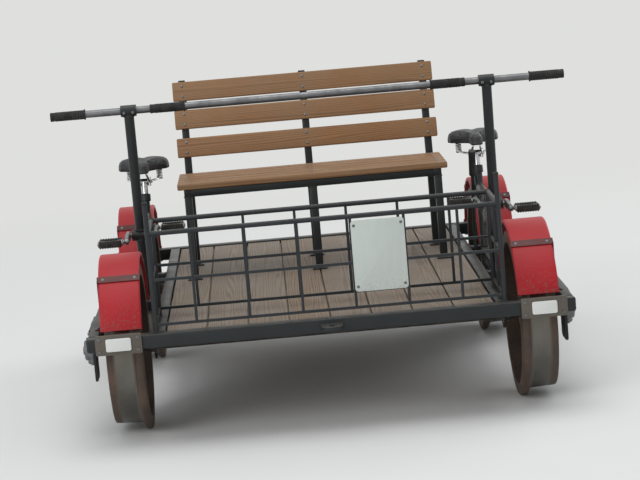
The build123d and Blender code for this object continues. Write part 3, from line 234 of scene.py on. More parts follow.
# Plastics, rubber and cover
def moulded_red(name):
    """Red polyethylene sheet, moulded: paler on faces that look up as a painted sky highlight, scuffed along, with
    mud thrown up at the ends.
    """
    material, tree, shader, place = start(name, Specular_IOR_Level=0.26)
    clouds = add(tree, "TexNoise", {"Vector": place, "Scale": per_metre(90), "Detail": 5.0}).outputs["Fac"]
    dye = add(tree, "Mix", {0: clouds, 6: srgb("#9e1620"), 7: srgb("#b01e28")}, data_type="RGBA").outputs[2]
    # Painted highlight: faces that look up are mixed towards a pale red, as if lit by the sky.
    sky_highlight = facing_up(tree, 0.5, 0.2)
    paler = add(tree, "Mix", {0: sky_highlight, 6: dye, 7: srgb("#b83c3c")}, data_type="RGBA").outputs[2]
    height = add(tree, "SeparateXYZ", {0: place}).outputs["Z"]
    low = add(tree, "MapRange", {"Value": height, "From Min": 0.55, "From Max": 0.42}).outputs[0]
    spots = clouded(tree, place, 11, 8.0, 0.75, (0.5, 0.66))[1]
    muddy = add(tree, "Math", {0: low, 1: spots}, operation="MULTIPLY").outputs[0]
    colour = add(tree, "Mix", {0: muddy, 6: paler, 7: srgb("#6b5b48")}, data_type="RGBA").outputs[2]
    sheen = add(tree, "MapRange", {"Value": clouds, "To Min": 0.34, "To Max": 0.52}).outputs[0]
    grain = add(tree, "TexNoise", {"Vector": place, "Scale": per_metre(4), "Detail": 3.0}).outputs["Fac"]
    shade(tree, shader, colour, sheen, grain, 0.2)
    return material


def rubber(name, colour, dusty, grain_mm):
    """Moulded black rubber: matt, greyed by dust, with a fine pebbled skin."""
    material, tree, shader, place = start(name, Specular_IOR_Level=0.35)
    dust, spread = clouded(tree, place, 30, 7.0, 0.7, (0.42, 0.7))
    skin = add(tree, "Mix", {0: spread, 6: srgb(colour), 7: srgb(dusty)}, data_type="RGBA").outputs[2]
    pebbles = add(tree, "TexVoronoi", {"Vector": place, "Scale": per_metre(grain_mm)}).outputs["Distance"]
    sheen = add(tree, "MapRange", {"Value": dust, "To Min": 0.55, "To Max": 0.85}).outputs[0]
    shade(tree, shader, skin, sheen, pebbles, 0.15)
    return material


def saddle_cover(name):
    """Black vinyl saddle cover: embossed hide grain drawn at 3 mm to show, rubbed shiny where sat on."""
    material, tree, shader, place = start(name, Sheen_Weight=0.08, Sheen_Roughness=0.5)
    cells = add(tree, "TexVoronoi", {"Vector": place, "Scale": per_metre(3)}, feature="DISTANCE_TO_EDGE")
    creases = add(tree, "MapRange", {"Value": cells.outputs["Distance"], "From Max": 0.12}).outputs[0]
    wear, sheen = clouded(tree, place, 70, 5.0, 0.5, (0.35, 0.65), (0.38, 0.62))
    colour = add(tree, "Mix", {0: wear, 6: srgb("#222325"), 7: srgb("#303133")}, data_type="RGBA").outputs[2]
    shade(tree, shader, colour, sheen, creases, 0.18)
    return material


def moulded_lens(name, clear, deep):
    """Moulded acrylic reflector: rows of small prisms under a smooth clear face."""
    material, tree, shader, place = start(name, Coat_Weight=1.0, Coat_Roughness=0.04, Specular_IOR_Level=0.6)
    turned = add(tree, "Mapping", {"Vector": place, "Rotation": (0.0, math.radians(45), 0.0)}).outputs[0]
    prisms = add(tree, "TexVoronoi", {"Vector": turned, "Scale": per_metre(7), "Randomness": 0.0})
    prisms = prisms.outputs["Distance"]
    colour = add(tree, "Mix", {0: prisms, 6: srgb(clear), 7: srgb(deep)}, data_type="RGBA").outputs[2]
    sheen = add(tree, "MapRange", {"Value": prisms, "To Min": 0.12, "To Max": 0.3}).outputs[0]
    shade(tree, shader, colour, sheen, prisms, 1.2)
    return material


def coated_sheet(name):
    """Pale coil-coated aluminium sheet: flat and chalky, with faint rain marks and grime at its foot."""
    material, tree, shader, place = start(name, Specular_IOR_Level=0.4)
    drawn = add(tree, "Mapping", {"Vector": place, "Scale": (1.0, 1.0, 0.25)}).outputs[0]
    rain = {"Vector": drawn, "Scale": per_metre(22), "Detail": 7.0, "Roughness": 0.6}
    streaks = add(tree, "TexNoise", rain).outputs["Fac"]
    tones = {0: streaks, 6: srgb("#ccd2cd"), 7: srgb("#bfc6c0")}
    chalk = add(tree, "Mix", tones, data_type="RGBA").outputs[2]
    height = add(tree, "SeparateXYZ", {0: place}).outputs["Z"]
    bounds = {"From Min": 0.60, "From Max": 0.50, "To Max": 0.5}
    foot = add(tree, "MapRange", {"Value": height, **bounds}).outputs[0]
    spots = clouded(tree, place, 9, 8.0, 0.7, (0.5, 0.68))[1]
    grime = add(tree, "Math", {0: foot, 1: spots}, operation="MULTIPLY").outputs[0]
    colour = add(tree, "Mix", {0: grime, 6: chalk, 7: srgb("#8d8f84")}, data_type="RGBA").outputs[2]
    sheen = add(tree, "MapRange", {"Value": streaks, "To Min": 0.38, "To Max": 0.55}).outputs[0]
    shade(tree, shader, colour, sheen, streaks, 0.06)
    return material


# Wood
def sawn_wood(name, along, ring_mm, spring, summer, grey, weather, gloss):
    """Planed softwood or hardwood: long growth rings, fibres and a tone of its own for each board."""
    material, tree, shader, place = start(name, Specular_IOR_Level=0.35)
    squeeze = (0.03, 1.0, 1.0) if along == "X" else (1.0, 0.03, 1.0)
    across = (0.0, 1.0, 0.85) if along == "X" else (1.0, 0.0, 0.4)
    number = add(tree, "Attribute", attribute_name="board").outputs["Fac"]
    tone = add(tree, "TexWhiteNoise", {"W": number}, noise_dimensions="1D").outputs
    apart = {0: tone["Color"], 1: (3.0, 3.0, 3.0), 2: place}
    shifted = add(tree, "VectorMath", apart, operation="MULTIPLY_ADD").outputs[0]
    stretched = add(tree, "Mapping", {"Vector": shifted, "Scale": squeeze}).outputs[0]
    warp = add(tree, "TexNoise", {"Vector": stretched, "Scale": per_metre(70), "Detail": 2.0}).outputs["Fac"]
    cross = add(tree, "VectorMath", {0: shifted, 1: across}, operation="DOT_PRODUCT").outputs["Value"]
    bent = add(tree, "Math", {0: warp, 1: 0.11, 2: cross}, operation="MULTIPLY_ADD").outputs[0]
    turns = add(tree, "Math", {0: bent, 1: FULL_TURN * per_metre(ring_mm)}, operation="MULTIPLY").outputs[0]
    wave = add(tree, "Math", {0: turns}, operation="SINE").outputs[0]
    ring = add(tree, "MapRange", {"Value": wave, "From Min": -0.6, "From Max": 1.0}).outputs[0]
    timber = add(tree, "Mix", {0: ring, 6: srgb(spring), 7: srgb(summer)}, data_type="RGBA").outputs[2]
    fibres, dark = clouded(tree, stretched, 2.2, 4.0, 0.5, (0.52, 0.72), (0.0, 0.55))
    fibrous = add(tree, "Mix", {0: dark, 6: timber, 7: srgb(summer)}, data_type="RGBA").outputs[2]
    cloudy = {"Vector": place, "Scale": per_metre(160), "Detail": 6.0, "Roughness": 0.65}
    own = {0: tone["Value"], 1: 0.2, 2: add(tree, "TexNoise", cloudy).outputs["Fac"]}
    mottled = add(tree, "Math", own, operation="MULTIPLY_ADD").outputs[0]
    bounds = {"From Min": 0.25, "From Max": 0.8, "To Max": weather}
    silver = add(tree, "MapRange", {"Value": mottled, **bounds}).outputs[0]
    colour = add(tree, "Mix", {0: silver, 6: fibrous, 7: srgb(grey)}, data_type="RGBA").outputs[2]
    sheen = add(tree, "MapRange", {"Value": ring, "To Min": gloss[0], "To Max": gloss[1]}).outputs[0]
    shade(tree, shader, colour, sheen, fibres, 0.5)
    return material


LARCH = ("#86705a", "#6a5643", "#85817a")
HARDWOOD = ("#9c7048", "#7d5736", "#8e8069")

# Every material under the record's slot name.
FINISH = {
    "frame_paint": enamel("dark_satin_enamel", "#1e2122", "#292d2e", (0.32, 0.48), 0.3),
    "guard_paint": enamel("dark_plate_enamel", "#1c2022", "#272b2d", (0.36, 0.54), 0.25),
    "basket_paint": enamel("basket_wire_enamel", "#232629", "#2f3336", (0.34, 0.5), 0.3, 1.5),
    "strap_paint": enamel("dark_red_enamel", "#4b1416", "#5b1b1b", (0.36, 0.5), 0.2),
    "plate_grey": enamel("worn_grey_enamel", "#554f48", "#696259", (0.42, 0.6), 0.25),
    "bearing_grey": cast_enamel("cast_iron_enamel"),
    "wheel_steel": rolled_wheel_steel("rolled_wheel_steel"),
    "axle_steel": bar_metal("turned_axle_steel", "#77706a", "#4d443d", 0.42, 3.0),
    "chrome": bar_metal("chrome_plate", "#d3d4d6", "#a9abad", 0.12, 30.0, 1.0, 0.01),
    "crank_steel": bar_metal("forged_crank_steel", "#8f9092", "#6c6c6d", 0.34, 6.0),
    "ring_steel": bar_metal("stamped_ring_steel", "#77787a", "#4b4743", 0.36, 4.0),
    "chain_steel": bar_metal("oiled_chain_steel", "#5e5a56", "#37312c", 0.34, 5.0),
    "bar_steel": bar_metal("galvanised_tube", "#7d7e80", "#696a6c", 0.38, 12.0),
    "red_plastic": moulded_red("moulded_red_sheet"),
    "lens_white": moulded_lens("clear_reflector_acrylic", "#e9e9e4", "#c3c6c2"),
    "lens_red": moulded_lens("red_reflector_acrylic", "#b80d16", "#79060c"),
    "sign_white": coated_sheet("coil_coated_aluminium"),
    "deck_wood": sawn_wood("weathered_larch_boards", "Y", 9.0, *LARCH, 0.6, (0.62, 0.8)),
    "bench_wood": sawn_wood("oiled_hardwood_slats", "X", 8.0, *HARDWOOD, 0.35, (0.42, 0.62)),
    "black_vinyl": saddle_cover("grained_saddle_vinyl"),
    "grip_rubber": rubber("moulded_grip_rubber", "#1b1c1d", "#3a3936", 2.5),
    "pedal_rubber": rubber("pedal_block_rubber", "#202020", "#4a463f", 3.0),
    "shoe_block": rubber("pressed_friction_block", "#3a3531", "#57504a", 2.5),
}

for node_name, node_item in NODES.items():
    node_item.data.materials.clear()
    node_item.data.materials.append(FINISH[SLOT_OF[node_name]])


# Mesh helpers
MERGE_REACH = 0.000005
BM_VERT = bmesh.types.BMVert
BM_EDGE = bmesh.types.BMEdge


def millimetres(*values):
    """A point or size given in millimetres, as a vector in metres."""
    return Vector(values) / 1000


def about(middle, half):
    """The range that lies a half to each side of a middle."""
    return middle - half, middle + half


def span(sign, first, last):
    """A range in rising order, on the side that its sign gives."""
    return sorted((sign * first, sign * last))


def spoke(turn, radius=1.0):
    """A vector in a wheel's plane, at an angle from the rear."""
    return Vector((0, math.cos(turn), math.sin(turn))) * radius


def facing(direction, axis="Z"):
    """The matrix that turns an axis to a direction."""
    return direction.to_track_quat(axis, "Y").to_matrix().to_4x4()


def only(kind, items):
    """The items of one kind in the order that an operator returned them."""
    return [item for item in items if isinstance(item, kind)]


def edges_of(verts):
    """Every edge that meets one of the points."""
    return list({edge for vert in verts for edge in vert.link_edges})


def length_along(edge, axis):
    """How far an edge runs along an axis (0, 1 or 2)."""
    return abs(edge.verts[0].co[axis] - edge.verts[1].co[axis])


def rims_of(edges):
    """The edges where two faces meet at a steep angle."""
    return [edge for edge in edges if edge.calc_face_angle(0) > math.radians(60)]


def ease(bm, edges, offset, steps=3):
    """Round some edges off."""
    bmesh.ops.bevel(
        bm, geom=list(edges), offset=offset, segments=steps, profile=0.5, affect="EDGES", material=-1
    )


def cuboid(bm, xs, ys, zs, turn=None):
    """The edges of a new box given by its ranges, turned or sheared by a matrix if one is given."""
    low, high = (Vector(corner) for corner in zip(xs, ys, zs))
    place = Matrix.Translation((low + high) / 2) @ Matrix.Diagonal((*(high - low), 1))
    if turn is not None:
        place = turn @ place
    return edges_of(bmesh.ops.create_cube(bm, size=1.0, matrix=place)["verts"])


def block(bm, xs, ys, zs, edge=0.003, steps=2, turn=None):
    """A box between three ranges with rounded edges."""
    ease(bm, cuboid(bm, xs, ys, zs, turn), edge, steps)


def rod(bm, begin, end, radius, tip=None, sides=20, edge=0.0):
    """A round bar or cone between two points, with its rims rounded."""
    begin, end = Vector(begin), Vector(end)
    run = end - begin
    tip = radius if tip is None else tip
    size = {"radius1": radius, "radius2": tip, "depth": run.length}
    place = Matrix.Translation((begin + end) / 2) @ facing(run)
    made = bmesh.ops.create_cone(bm, cap_ends=True, segments=sides, matrix=place, **size)
    if edge:
        ease(bm, rims_of(edges_of(made["verts"])), edge)


def cross_rod(bm, xs, centre, radius, sides=20, edge=0.0):
    """A round bar along X between two distances from the middle, in line with a centre."""
    begin, end = (Vector((x, centre.y, centre.z)) for x in xs)
    rod(bm, begin, end, radius, sides=sides, edge=edge)


def rounded(corners, steps=4):
    """An outline from (across, radius, fillet) corners, each fillet drawn as a short curve."""
    points = []
    count = len(corners)
    for index, (x, r, fillet) in enumerate(corners):
        here = Vector((x, r))
        if not fillet:
            points.append(here)
            continue
        before = Vector(corners[index - 1][:2]) - here
        after = Vector(corners[(index + 1) % count][:2]) - here
        first = here + before.normalized() * fillet
        last = here + after.normalized() * fillet
        for step in range(steps + 1):
            t = step / steps
            points.append(first * (1 - t) ** 2 + here * 2 * t * (1 - t) + last * t ** 2)
    return points


def spun(bm, verts, edges, steps, angle=FULL_TURN, **motion):
    """Spin a section, and close the two ends of a part turn."""
    whole = angle == FULL_TURN and "dvec" not in motion
    section_geom = list(verts) + list(edges)
    made = bmesh.ops.spin(bm, geom=section_geom, steps=steps, angle=angle, use_merge=whole, **motion)
    if not whole:
        bmesh.ops.contextual_create(bm, geom=only(BM_EDGE, made["geom_last"]))
        bmesh.ops.contextual_create(bm, geom=edges)


def turned(bm, outline, centre, steps=64, begin=0.0, sweep=FULL_TURN):
    """A closed outline of (across, radius) points in millimetres, spun about an X axis."""
    centre = Vector(centre)
    up = Matrix.Rotation(begin, 3, "X")
    verts = [bm.verts.new(centre + up @ Vector((x / 1000, 0, r / 1000))) for x, r in outline]
    edges = [bm.edges.new(pair) for pair in zip(verts, verts[1:] + verts[:1])]
    spun(bm, verts, edges, steps, sweep, cent=centre, axis=(1, 0, 0))


def flipped(bm):
    """Mirror a right-hand shape to the left."""
    bmesh.ops.scale(bm, vec=(-1, 1, 1), verts=bm.verts[:])


def both_sides(bm):
    """Repeat a right-hand shape on the left."""
    copied = bmesh.ops.duplicate(bm, geom=bm.verts[:] + bm.edges[:] + bm.faces[:])
    bmesh.ops.scale(bm, vec=(-1, 1, 1), verts=only(BM_VERT, copied["geom"]))


def cleaned(bm):
    """Merge a shape's doubles and point its faces outwards."""
    bmesh.ops.remove_doubles(bm, verts=bm.verts[:], dist=MERGE_REACH)
    bmesh.ops.recalc_face_normals(bm, faces=bm.faces[:])


def as_mesh(name, bm):
    """A mesh of the shape, which is freed."""
    mesh = bpy.data.meshes.new(name)
    bm.to_mesh(mesh)
    bm.free()
    return mesh


def stand(name, data):
    """An object of the data, linked to the scene."""
    item = bpy.data.objects.new(name, data)
    bpy.context.scene.collection.objects.link(item)
    return item


def evaluated(item):
    """The mesh that an object's modifiers or its curve make."""
    view_layer = bpy.context.evaluated_depsgraph_get()
    return bpy.data.meshes.new_from_object(item.evaluated_get(view_layer))


def make(name, bm, body, slot, replaced=(), sharp_deg=35):
    """A finished piece: it rides on its body, has its slot's finish and stands for its nodes."""
    cleaned(bm)
    mesh = as_mesh(name, bm)
    mesh.shade_smooth()
    mesh.set_sharp_from_angle(angle=math.radians(sharp_deg))
    mesh.materials.append(FINISH[slot])
    item = stand(name, mesh)
    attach(item, body)
    if replaced:
        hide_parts(*replaced)
    return item


def sided(name, right, body, slot, replaced=(), sharp_deg=35):
    """A right-hand piece and its mirror image, each on the body and for the nodes of its own side."""
    left = right.copy()
    flipped(left)
    pieces = []
    for side, bm in (("right", right), ("left", left)):
        on = body.replace("right", side)
        nodes = [node.replace("right", side) if "right" in node else f"{node}_{side}" for node in replaced]
        pieces.append(make(f"{name}_{side}", bm, on, slot, nodes, sharp_deg))
    return pieces


def absorbed(bm, other):
    """Add another shape to this one and free it."""
    carry = as_mesh("carry", other)
    bm.from_mesh(carry)
    bpy.data.meshes.remove(carry)


def combined(bm, other, operation="DIFFERENCE"):
    """The first closed shape without the second, or with UNION the two joined to one."""
    items = []
    for shape in (bm, other):
        cleaned(shape)
        items.append(stand("operand", as_mesh("operand", shape)))
    blank, tool = items
    cut = blank.modifiers.new("cut", "BOOLEAN")
    cut.operation = operation
    cut.solver = "EXACT"
    cut.object = tool
    result = bmesh.new()
    result.from_mesh(evaluated(blank))
    for item in items:
        bpy.data.objects.remove(item)
    return result


def bolt(bm, seat, out, size, washer=True):
    """A hexagon bolt head on its washer at a seat, with the direction that it faces."""
    seat, out = Vector(seat), Vector(out).normalized()
    level = seat
    if washer:
        level = seat + out * size * 0.16
        rod(bm, seat, level, size * 1.05)
    top = level + out * size * 0.62
    rod(bm, level, top, size * 0.92, sides=6, edge=size * 0.06)
    rod(bm, top, top + out * size * 0.3, size * 0.5, size * 0.4, sides=12)


def dome(bm, seat, out, radius, height, sides=16):
    """A low round head, such as a coach bolt's or a rivet's."""
    turn = facing(Vector(out).normalized())
    place = Matrix.Translation(Vector(seat)) @ turn @ Matrix.Diagonal((radius, radius, height, 1))
    bmesh.ops.create_uvsphere(bm, u_segments=sides, v_segments=8, radius=1.0, matrix=place)


WELD_R = 0.003
TUBE_WELD_R = 0.0035


def bead(bm, begin, end, radius=WELD_R):
    """A fillet weld's bead along a straight joint."""
    rod(bm, begin, end, radius, sides=8, edge=radius * 0.5)


def ring_bead(bm, centre, axis, radius, thick=TUBE_WELD_R):
    """A weld's bead round the foot of a tube."""
    centre, axis = Vector(centre), Vector(axis).normalized()
    side = axis.orthogonal().normalized()
    place = Matrix.Translation(centre + side * radius) @ facing(axis.cross(side))
    made = bmesh.ops.create_circle(bm, cap_ends=False, radius=thick, segments=6, matrix=place)
    spun(bm, made["verts"], edges_of(made["verts"]), 24, cent=centre, axis=axis)


# Wheels, in millimetres from the wheel's back and its axis
FLANGE_R = 307.0
TREAD_HIGH = 282.7
TREAD_LOW = 277.3
RIM_R = 262.0
HUB_R = 48.0
BORE_R = 19.02
WHEEL_W = 135.0
WEB_IN, WEB_OUT = 62.5, 72.5
HUB_IN, HUB_OUT = 27.5, 107.5
COLLAR_R = 32.0
COLLAR_BORE_R = 19.1
COLLARS = ((HUB_OUT + 0.4, HUB_OUT + 5.5), (HUB_IN - 14.5, HUB_IN - 0.5))
WHEEL_SECTION = rounded([
    (0, RIM_R, 2.5),
    (0, FLANGE_R, 11),
    (27, FLANGE_R, 10),
    (34, TREAD_HIGH, 12),
    (WHEEL_W, TREAD_LOW, 5),
    (WHEEL_W, RIM_R, 2.5),
    (WEB_OUT, RIM_R, 14),
    (WEB_OUT, HUB_R, 12),
    (HUB_OUT, HUB_R, 2.5),
    (HUB_OUT, BORE_R, 0),
    (HUB_IN, BORE_R, 0),
    (HUB_IN, HUB_R, 2.5),
    (WEB_IN, HUB_R, 12),
    (WEB_IN, RIM_R, 14),
])

# Wheels, in metres
WHEEL_BACK = 0.680
WEB_HOLES = 6
HOLE_R = 0.042
HOLE_PITCH_R = 0.158
HOLE_EASE = 0.0018
SET_SCREW_X = 0.096
SET_SCREW_SIZE = 0.009


def hole_rims(bm, centre):
    """The sharp rims that the web's holes leave."""
    rims = []
    step = FULL_TURN / WEB_HOLES
    for edge in bm.edges:
        reaches = []
        for vert in edge.verts:
            offset = vert.co - centre
            nearest = round(math.atan2(offset.z, offset.y) / step) * step
            flat = Vector((0, offset.y, offset.z)) - spoke(nearest, HOLE_PITCH_R)
            reaches.append(flat.length)
        if length_along(edge, 0) < 0.00001 and all(abs(reach - HOLE_R) < 0.0001 for reach in reaches):
            rims.append(edge)
    return rims


def wheel_mesh(centre):
    """One right-hand wheel with the round holes of its web."""
    bm = bmesh.new()
    turned(bm, WHEEL_SECTION, centre, steps=96)
    cutter = bmesh.new()
    through = [WHEEL_BACK + x / 1000 for x in (WEB_IN - 6, WEB_OUT + 6)]
    for number in range(WEB_HOLES):
        hole = centre + spoke(FULL_TURN * number / WEB_HOLES, HOLE_PITCH_R)
        cross_rod(cutter, through, hole, HOLE_R, sides=40)
    bm = combined(bm, cutter)
    ease(bm, hole_rims(bm, centre), HOLE_EASE, 2)
    return bm


def wheel_centre(end):
    """The point on an axle at the back of its right-hand wheel."""
    axle = JOINT_AT[f"wheels_{end}"]
    return Vector((WHEEL_BACK, axle.y, axle.z))


def wheels():
    """Four turned steel wheels at their axles."""
    for end in ENDS:
        bm = wheel_mesh(wheel_centre(end))
        sided(f"turned_wheel_{end}", bm, f"wheelset_{end}", "wheel_steel", [f"wheel_{end}"])


def wheel_collars():
    """Locking collars beside the hubs, and the hubs' set screws."""
    for end in ENDS:
        centre = wheel_centre(end)
        bm = bmesh.new()
        # The front axle's sprocket hub takes the place of the inner collar.
        for low, high in COLLARS[:1] if end == "front" else COLLARS:
            ring = [(low, COLLAR_R, 1.5), (high, COLLAR_R, 1.5)]
            ring += [(high, COLLAR_BORE_R, 0), (low, COLLAR_BORE_R, 0)]
            turned(bm, rounded(ring), centre, steps=40)
        for turn in (math.radians(60), math.radians(240)):
            seat = centre + Vector((SET_SCREW_X, 0, 0)) + spoke(turn, HUB_R / 1000 - 0.001)
            bolt(bm, seat, spoke(turn), SET_SCREW_SIZE, washer=False)
        both_sides(bm)
        make(f"wheel_collars_{end}", bm, f"wheelset_{end}", "axle_steel")


wheels()
wheel_collars()


# Mudguards, in millimetres from the inner edge and the wheel's axis
GUARD_R = 348.0
GUARD_W = 150.0
LIP = GUARD_R - 12
INSIDE = GUARD_R - 3
ROLL_R = 3.5
GUARD_SECTION = rounded([
    (0, LIP, 0),
    (0, GUARD_R, 7),
    (GUARD_W, GUARD_R, 7),
    (GUARD_W, LIP, 0),
    (GUARD_W - 3, LIP, 0),
    (GUARD_W - 3, INSIDE, 4.5),
    (3, INSIDE, 4.5),
    (3, LIP, 0),
])

# Mudguards, in metres
GUARD_INNER_X = 0.6725
GUARD_END_Z = 0.427


def rolled_edge(across):
    """The round section of a rolled edge at a distance across the guard."""
    turns = [step * math.pi / 5 for step in range(10)]
    middle = GUARD_R - 3 * ROLL_R
    return [(across + ROLL_R * math.cos(turn), middle + ROLL_R * math.sin(turn)) for turn in turns]


def mudguards():
    """Four curved guards with a rounded shoulder, thin wall and a rolled bead along each edge."""
    for end in ENDS:
        axle = JOINT_AT[f"wheels_{end}"]
        rise = math.asin((GUARD_END_Z - axle.z) / (GUARD_R / 1000))
        bm = bmesh.new()
        for outline in (GUARD_SECTION, rolled_edge(ROLL_R), rolled_edge(GUARD_W - ROLL_R)):
            centre = (GUARD_INNER_X, axle.y, axle.z)
            turned(bm, outline, centre, 56, -(math.pi / 2 - rise), math.pi - 2 * rise)
        sided(f"rolled_mudguard_{end}", bm, "root", "red_plastic", [f"mudguard_{end}"])


mudguards()


# Frame
RUNNER_X = (0.592, 0.632)
RUNNER_Z = (0.354, 0.414)
FRAME_TOP = RUNNER_Z[1]
SILL_X = (0.828, 0.868)
SILL_END_Y = 1.040
BEAM_FACE_Y = 1.090
CROSS_Y = (-0.86, -0.43, 0.0, 0.43, 0.86)
CROSS_HALF = 0.020
CROSS_TOP = 0.384
CROSS_EDGE = 0.004
OUTRIGGER_Y = 0.340
OUTRIGGER_BOTTOM = 0.374
TUBE_EDGE = 0.005
COUPLING_HOLE_Y = 1.126
COUPLING_HOLE_R = 0.011
COUPLING_R = 0.0398
COUPLING_HALF_W = 0.0393
COUPLING_WELD_HALF = 0.038
COUPLING_Z = (0.383, 0.395)
WELD_SINK = 0.001
UPRIGHT_WELD_Z = (0.368, 0.409)
OUTRIGGER_WELD_HALF = 0.016
PLUG_X = (0.866, 0.8705)
PLUG_Y = (1.044, 1.086)
PLUG_Z = (0.368, 0.410)


def tube(bm, xs, ys, zs):
    """A main tube with the rolled corners of rectangular tube."""
    block(bm, xs, ys, zs, TUBE_EDGE, 3)


def sills():
    """Outer side tubes."""
    for name in SIDES:
        bm = bmesh.new()
        tube(bm, *zip(*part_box(f"frame_sill_{name}")))
        make(f"side_tube_{name}", bm, "root", "frame_paint", [f"frame_sill_{name}"])


def coupling_eye(end):
    """A round-ended plate with the pin's hole drilled through it."""
    hole = Vector((0, end * COUPLING_HOLE_Y, sum(COUPLING_Z) / 2))
    half = Vector((0, 0, (COUPLING_Z[1] - COUPLING_Z[0]) / 2))
    tip, neck, cutter = bmesh.new(), bmesh.new(), bmesh.new()
    rod(tip, hole - half, hole + half, COUPLING_R, sides=48)
    reach = span(end, BEAM_FACE_Y - 0.010, COUPLING_HOLE_Y)
    block(neck, about(0, COUPLING_HALF_W), reach, COUPLING_Z, edge=0.0008)
    rod(cutter, hole - half * 1.5, hole + half * 1.5, COUPLING_HOLE_R, sides=32)
    return combined(combined(tip, neck, "UNION"), cutter)


def beams():
    """End cross tubes with their coupling eyes."""
    for name, end in ENDS.items():
        xs, ys, zs = zip(*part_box(f"frame_beam_{name}"))
        bm = bmesh.new()
        tube(bm, xs, span(end, SILL_END_Y, BEAM_FACE_Y), zs)
        absorbed(bm, coupling_eye(end))
        for z in COUPLING_Z:
            left, right = (Vector((x, end * BEAM_FACE_Y, z)) for x in about(0, COUPLING_WELD_HALF))
            bead(bm, left, right)
        make(f"end_tube_{name}", bm, "root", "frame_paint", [f"frame_beam_{name}"])


def centre_tubes():
    """Runners, cross members and outriggers of the welded centre frame."""
    bm = bmesh.new()
    for side in SIDES.values():
        tube(bm, span(side, *RUNNER_X), about(0, SILL_END_Y), RUNNER_Z)
        for end in ENDS.values():
            reach = span(side, RUNNER_X[1], SILL_X[0])
            across = about(end * OUTRIGGER_Y, CROSS_HALF)
            block(bm, reach, across, (OUTRIGGER_BOTTOM, FRAME_TOP), CROSS_EDGE)
    for middle in CROSS_Y:
        block(bm, about(0, RUNNER_X[0]), about(middle, CROSS_HALF), (RUNNER_Z[0], CROSS_TOP), CROSS_EDGE)
    make("centre_tubes", bm, "root", "frame_paint", ["centre_frame"])


def frame_welds():
    """Weld beads where the frame's tubes meet."""
    bm = bmesh.new()
    top = FRAME_TOP - WELD_SINK
    for side, end in CORNERS:
        joint_y = end * SILL_END_Y
        for near, far in (SILL_X, RUNNER_X):
            bead(bm, (side * (near + WELD_R), joint_y, top), (side * (far - WELD_R), joint_y, top))
            for x in (side * near, side * far):
                low, high = ((x, joint_y, z) for z in UPRIGHT_WELD_Z)
                bead(bm, low, high)
        for x in (side * RUNNER_X[1], side * SILL_X[0]):
            for y in about(OUTRIGGER_Y, CROSS_HALF):
                bead(bm, (x, end * y, OUTRIGGER_BOTTOM + 0.004), (x, end * y, FRAME_TOP - 0.005))
            near, far = ((x, end * y, top) for y in about(OUTRIGGER_Y, OUTRIGGER_WELD_HALF))
            bead(bm, near, far)
    make("frame_weld_beads", bm, "root", "frame_paint")


def tube_plugs():
    """Black moulded plugs in the open ends of the end tubes."""
    bm = bmesh.new()
    for side, end in CORNERS:
        block(bm, span(side, *PLUG_X), span(end, *PLUG_Y), PLUG_Z, edge=0.002)
    make("tube_end_plugs", bm, "root", "grip_rubber")


sills()
beams()
centre_tubes()
frame_welds()
tube_plugs()


# Wooden parts
BOARD_COUNT = 8
BOARD_W = 0.14125
BOARD_GAP = 0.006
BOARD_EDGE = 0.0016
TONGUE_Z = (0.389, 0.397)
TONGUE_PLAY = 0.0006
TONGUE_SINK = 0.002
DECK_Z = (0.384, 0.408)
SCREW_INSET = 0.028
SCREW_R = 0.0048


def plank(bm, xs, ys, zs, number, edge, turn=None):
    """One board, whose faces carry its number so that its grain and tone are its own."""
    layer = bm.faces.layers.float.get("board") or bm.faces.layers.float.new("board")
    old = set(bm.faces)
    block(bm, xs, ys, zs, edge, 3, turn)
    for face in bm.faces:
        if face not in old:
            face[layer] = number


def deck():
    """Planed boards laid lengthwise, tongued into each other and screwed to the cross members."""
    bm, screws = bmesh.new(), bmesh.new()
    reach = SILL_END_Y - BOARD_GAP
    for number in range(BOARD_COUNT):
        low = -RUNNER_X[0] + BOARD_GAP + number * (BOARD_W + BOARD_GAP)
        high = low + BOARD_W
        plank(bm, (low, high), about(0, reach), DECK_Z, number + 0.5, BOARD_EDGE)
        if number < BOARD_COUNT - 1:
            across = (high - TONGUE_SINK, high + BOARD_GAP - TONGUE_PLAY)
            plank(bm, across, about(0, reach - TONGUE_SINK), TONGUE_Z, number + 0.5, BOARD_EDGE / 2)
        for y in CROSS_Y:
            for x in (low + SCREW_INSET, high - SCREW_INSET):
                foot, head = ((x, y, DECK_Z[1] + z) for z in (-0.002, 0.0006))
                rod(screws, foot, head, SCREW_R, SCREW_R * 0.8, sides=12)
    make("deck_planks", bm, "root", "deck_wood", ["deck_boards"])
    make("deck_screws", screws, "root", "bar_steel")


BENCH_HALF_W = 0.545
BENCH_SIDE_X = 0.505
BENCH_HALF = 0.015
BENCH_FRONT_Y = 0.130
BENCH_REAR_Y = 0.515
BENCH_Y = (BENCH_FRONT_Y, BENCH_REAR_Y)
BENCH_RAIL_Z = (0.745, 0.775)
BENCH_TOP = 0.800
POST_X = (-BENCH_SIDE_X, 0.0, BENCH_SIDE_X)
BACK_TOP = 1.180
BACK_LEAN = 0.095 / (BACK_TOP - BENCH_RAIL_Z[0])
SEAT_SLATS = 5
SEAT_LOW_Y = 0.105
SEAT_SLAT_W = 0.0682
SEAT_GAP = 0.012
BACK_SLATS = 3
BACK_LOW_Z = 0.862
BACK_SLAT_W = 0.080
BACK_GAP = 0.036
BACK_THICK = 0.020
BACK_BOLT_RISE = 0.022
SLAT_EDGE = 0.005
HEAD_SINK = 0.0005


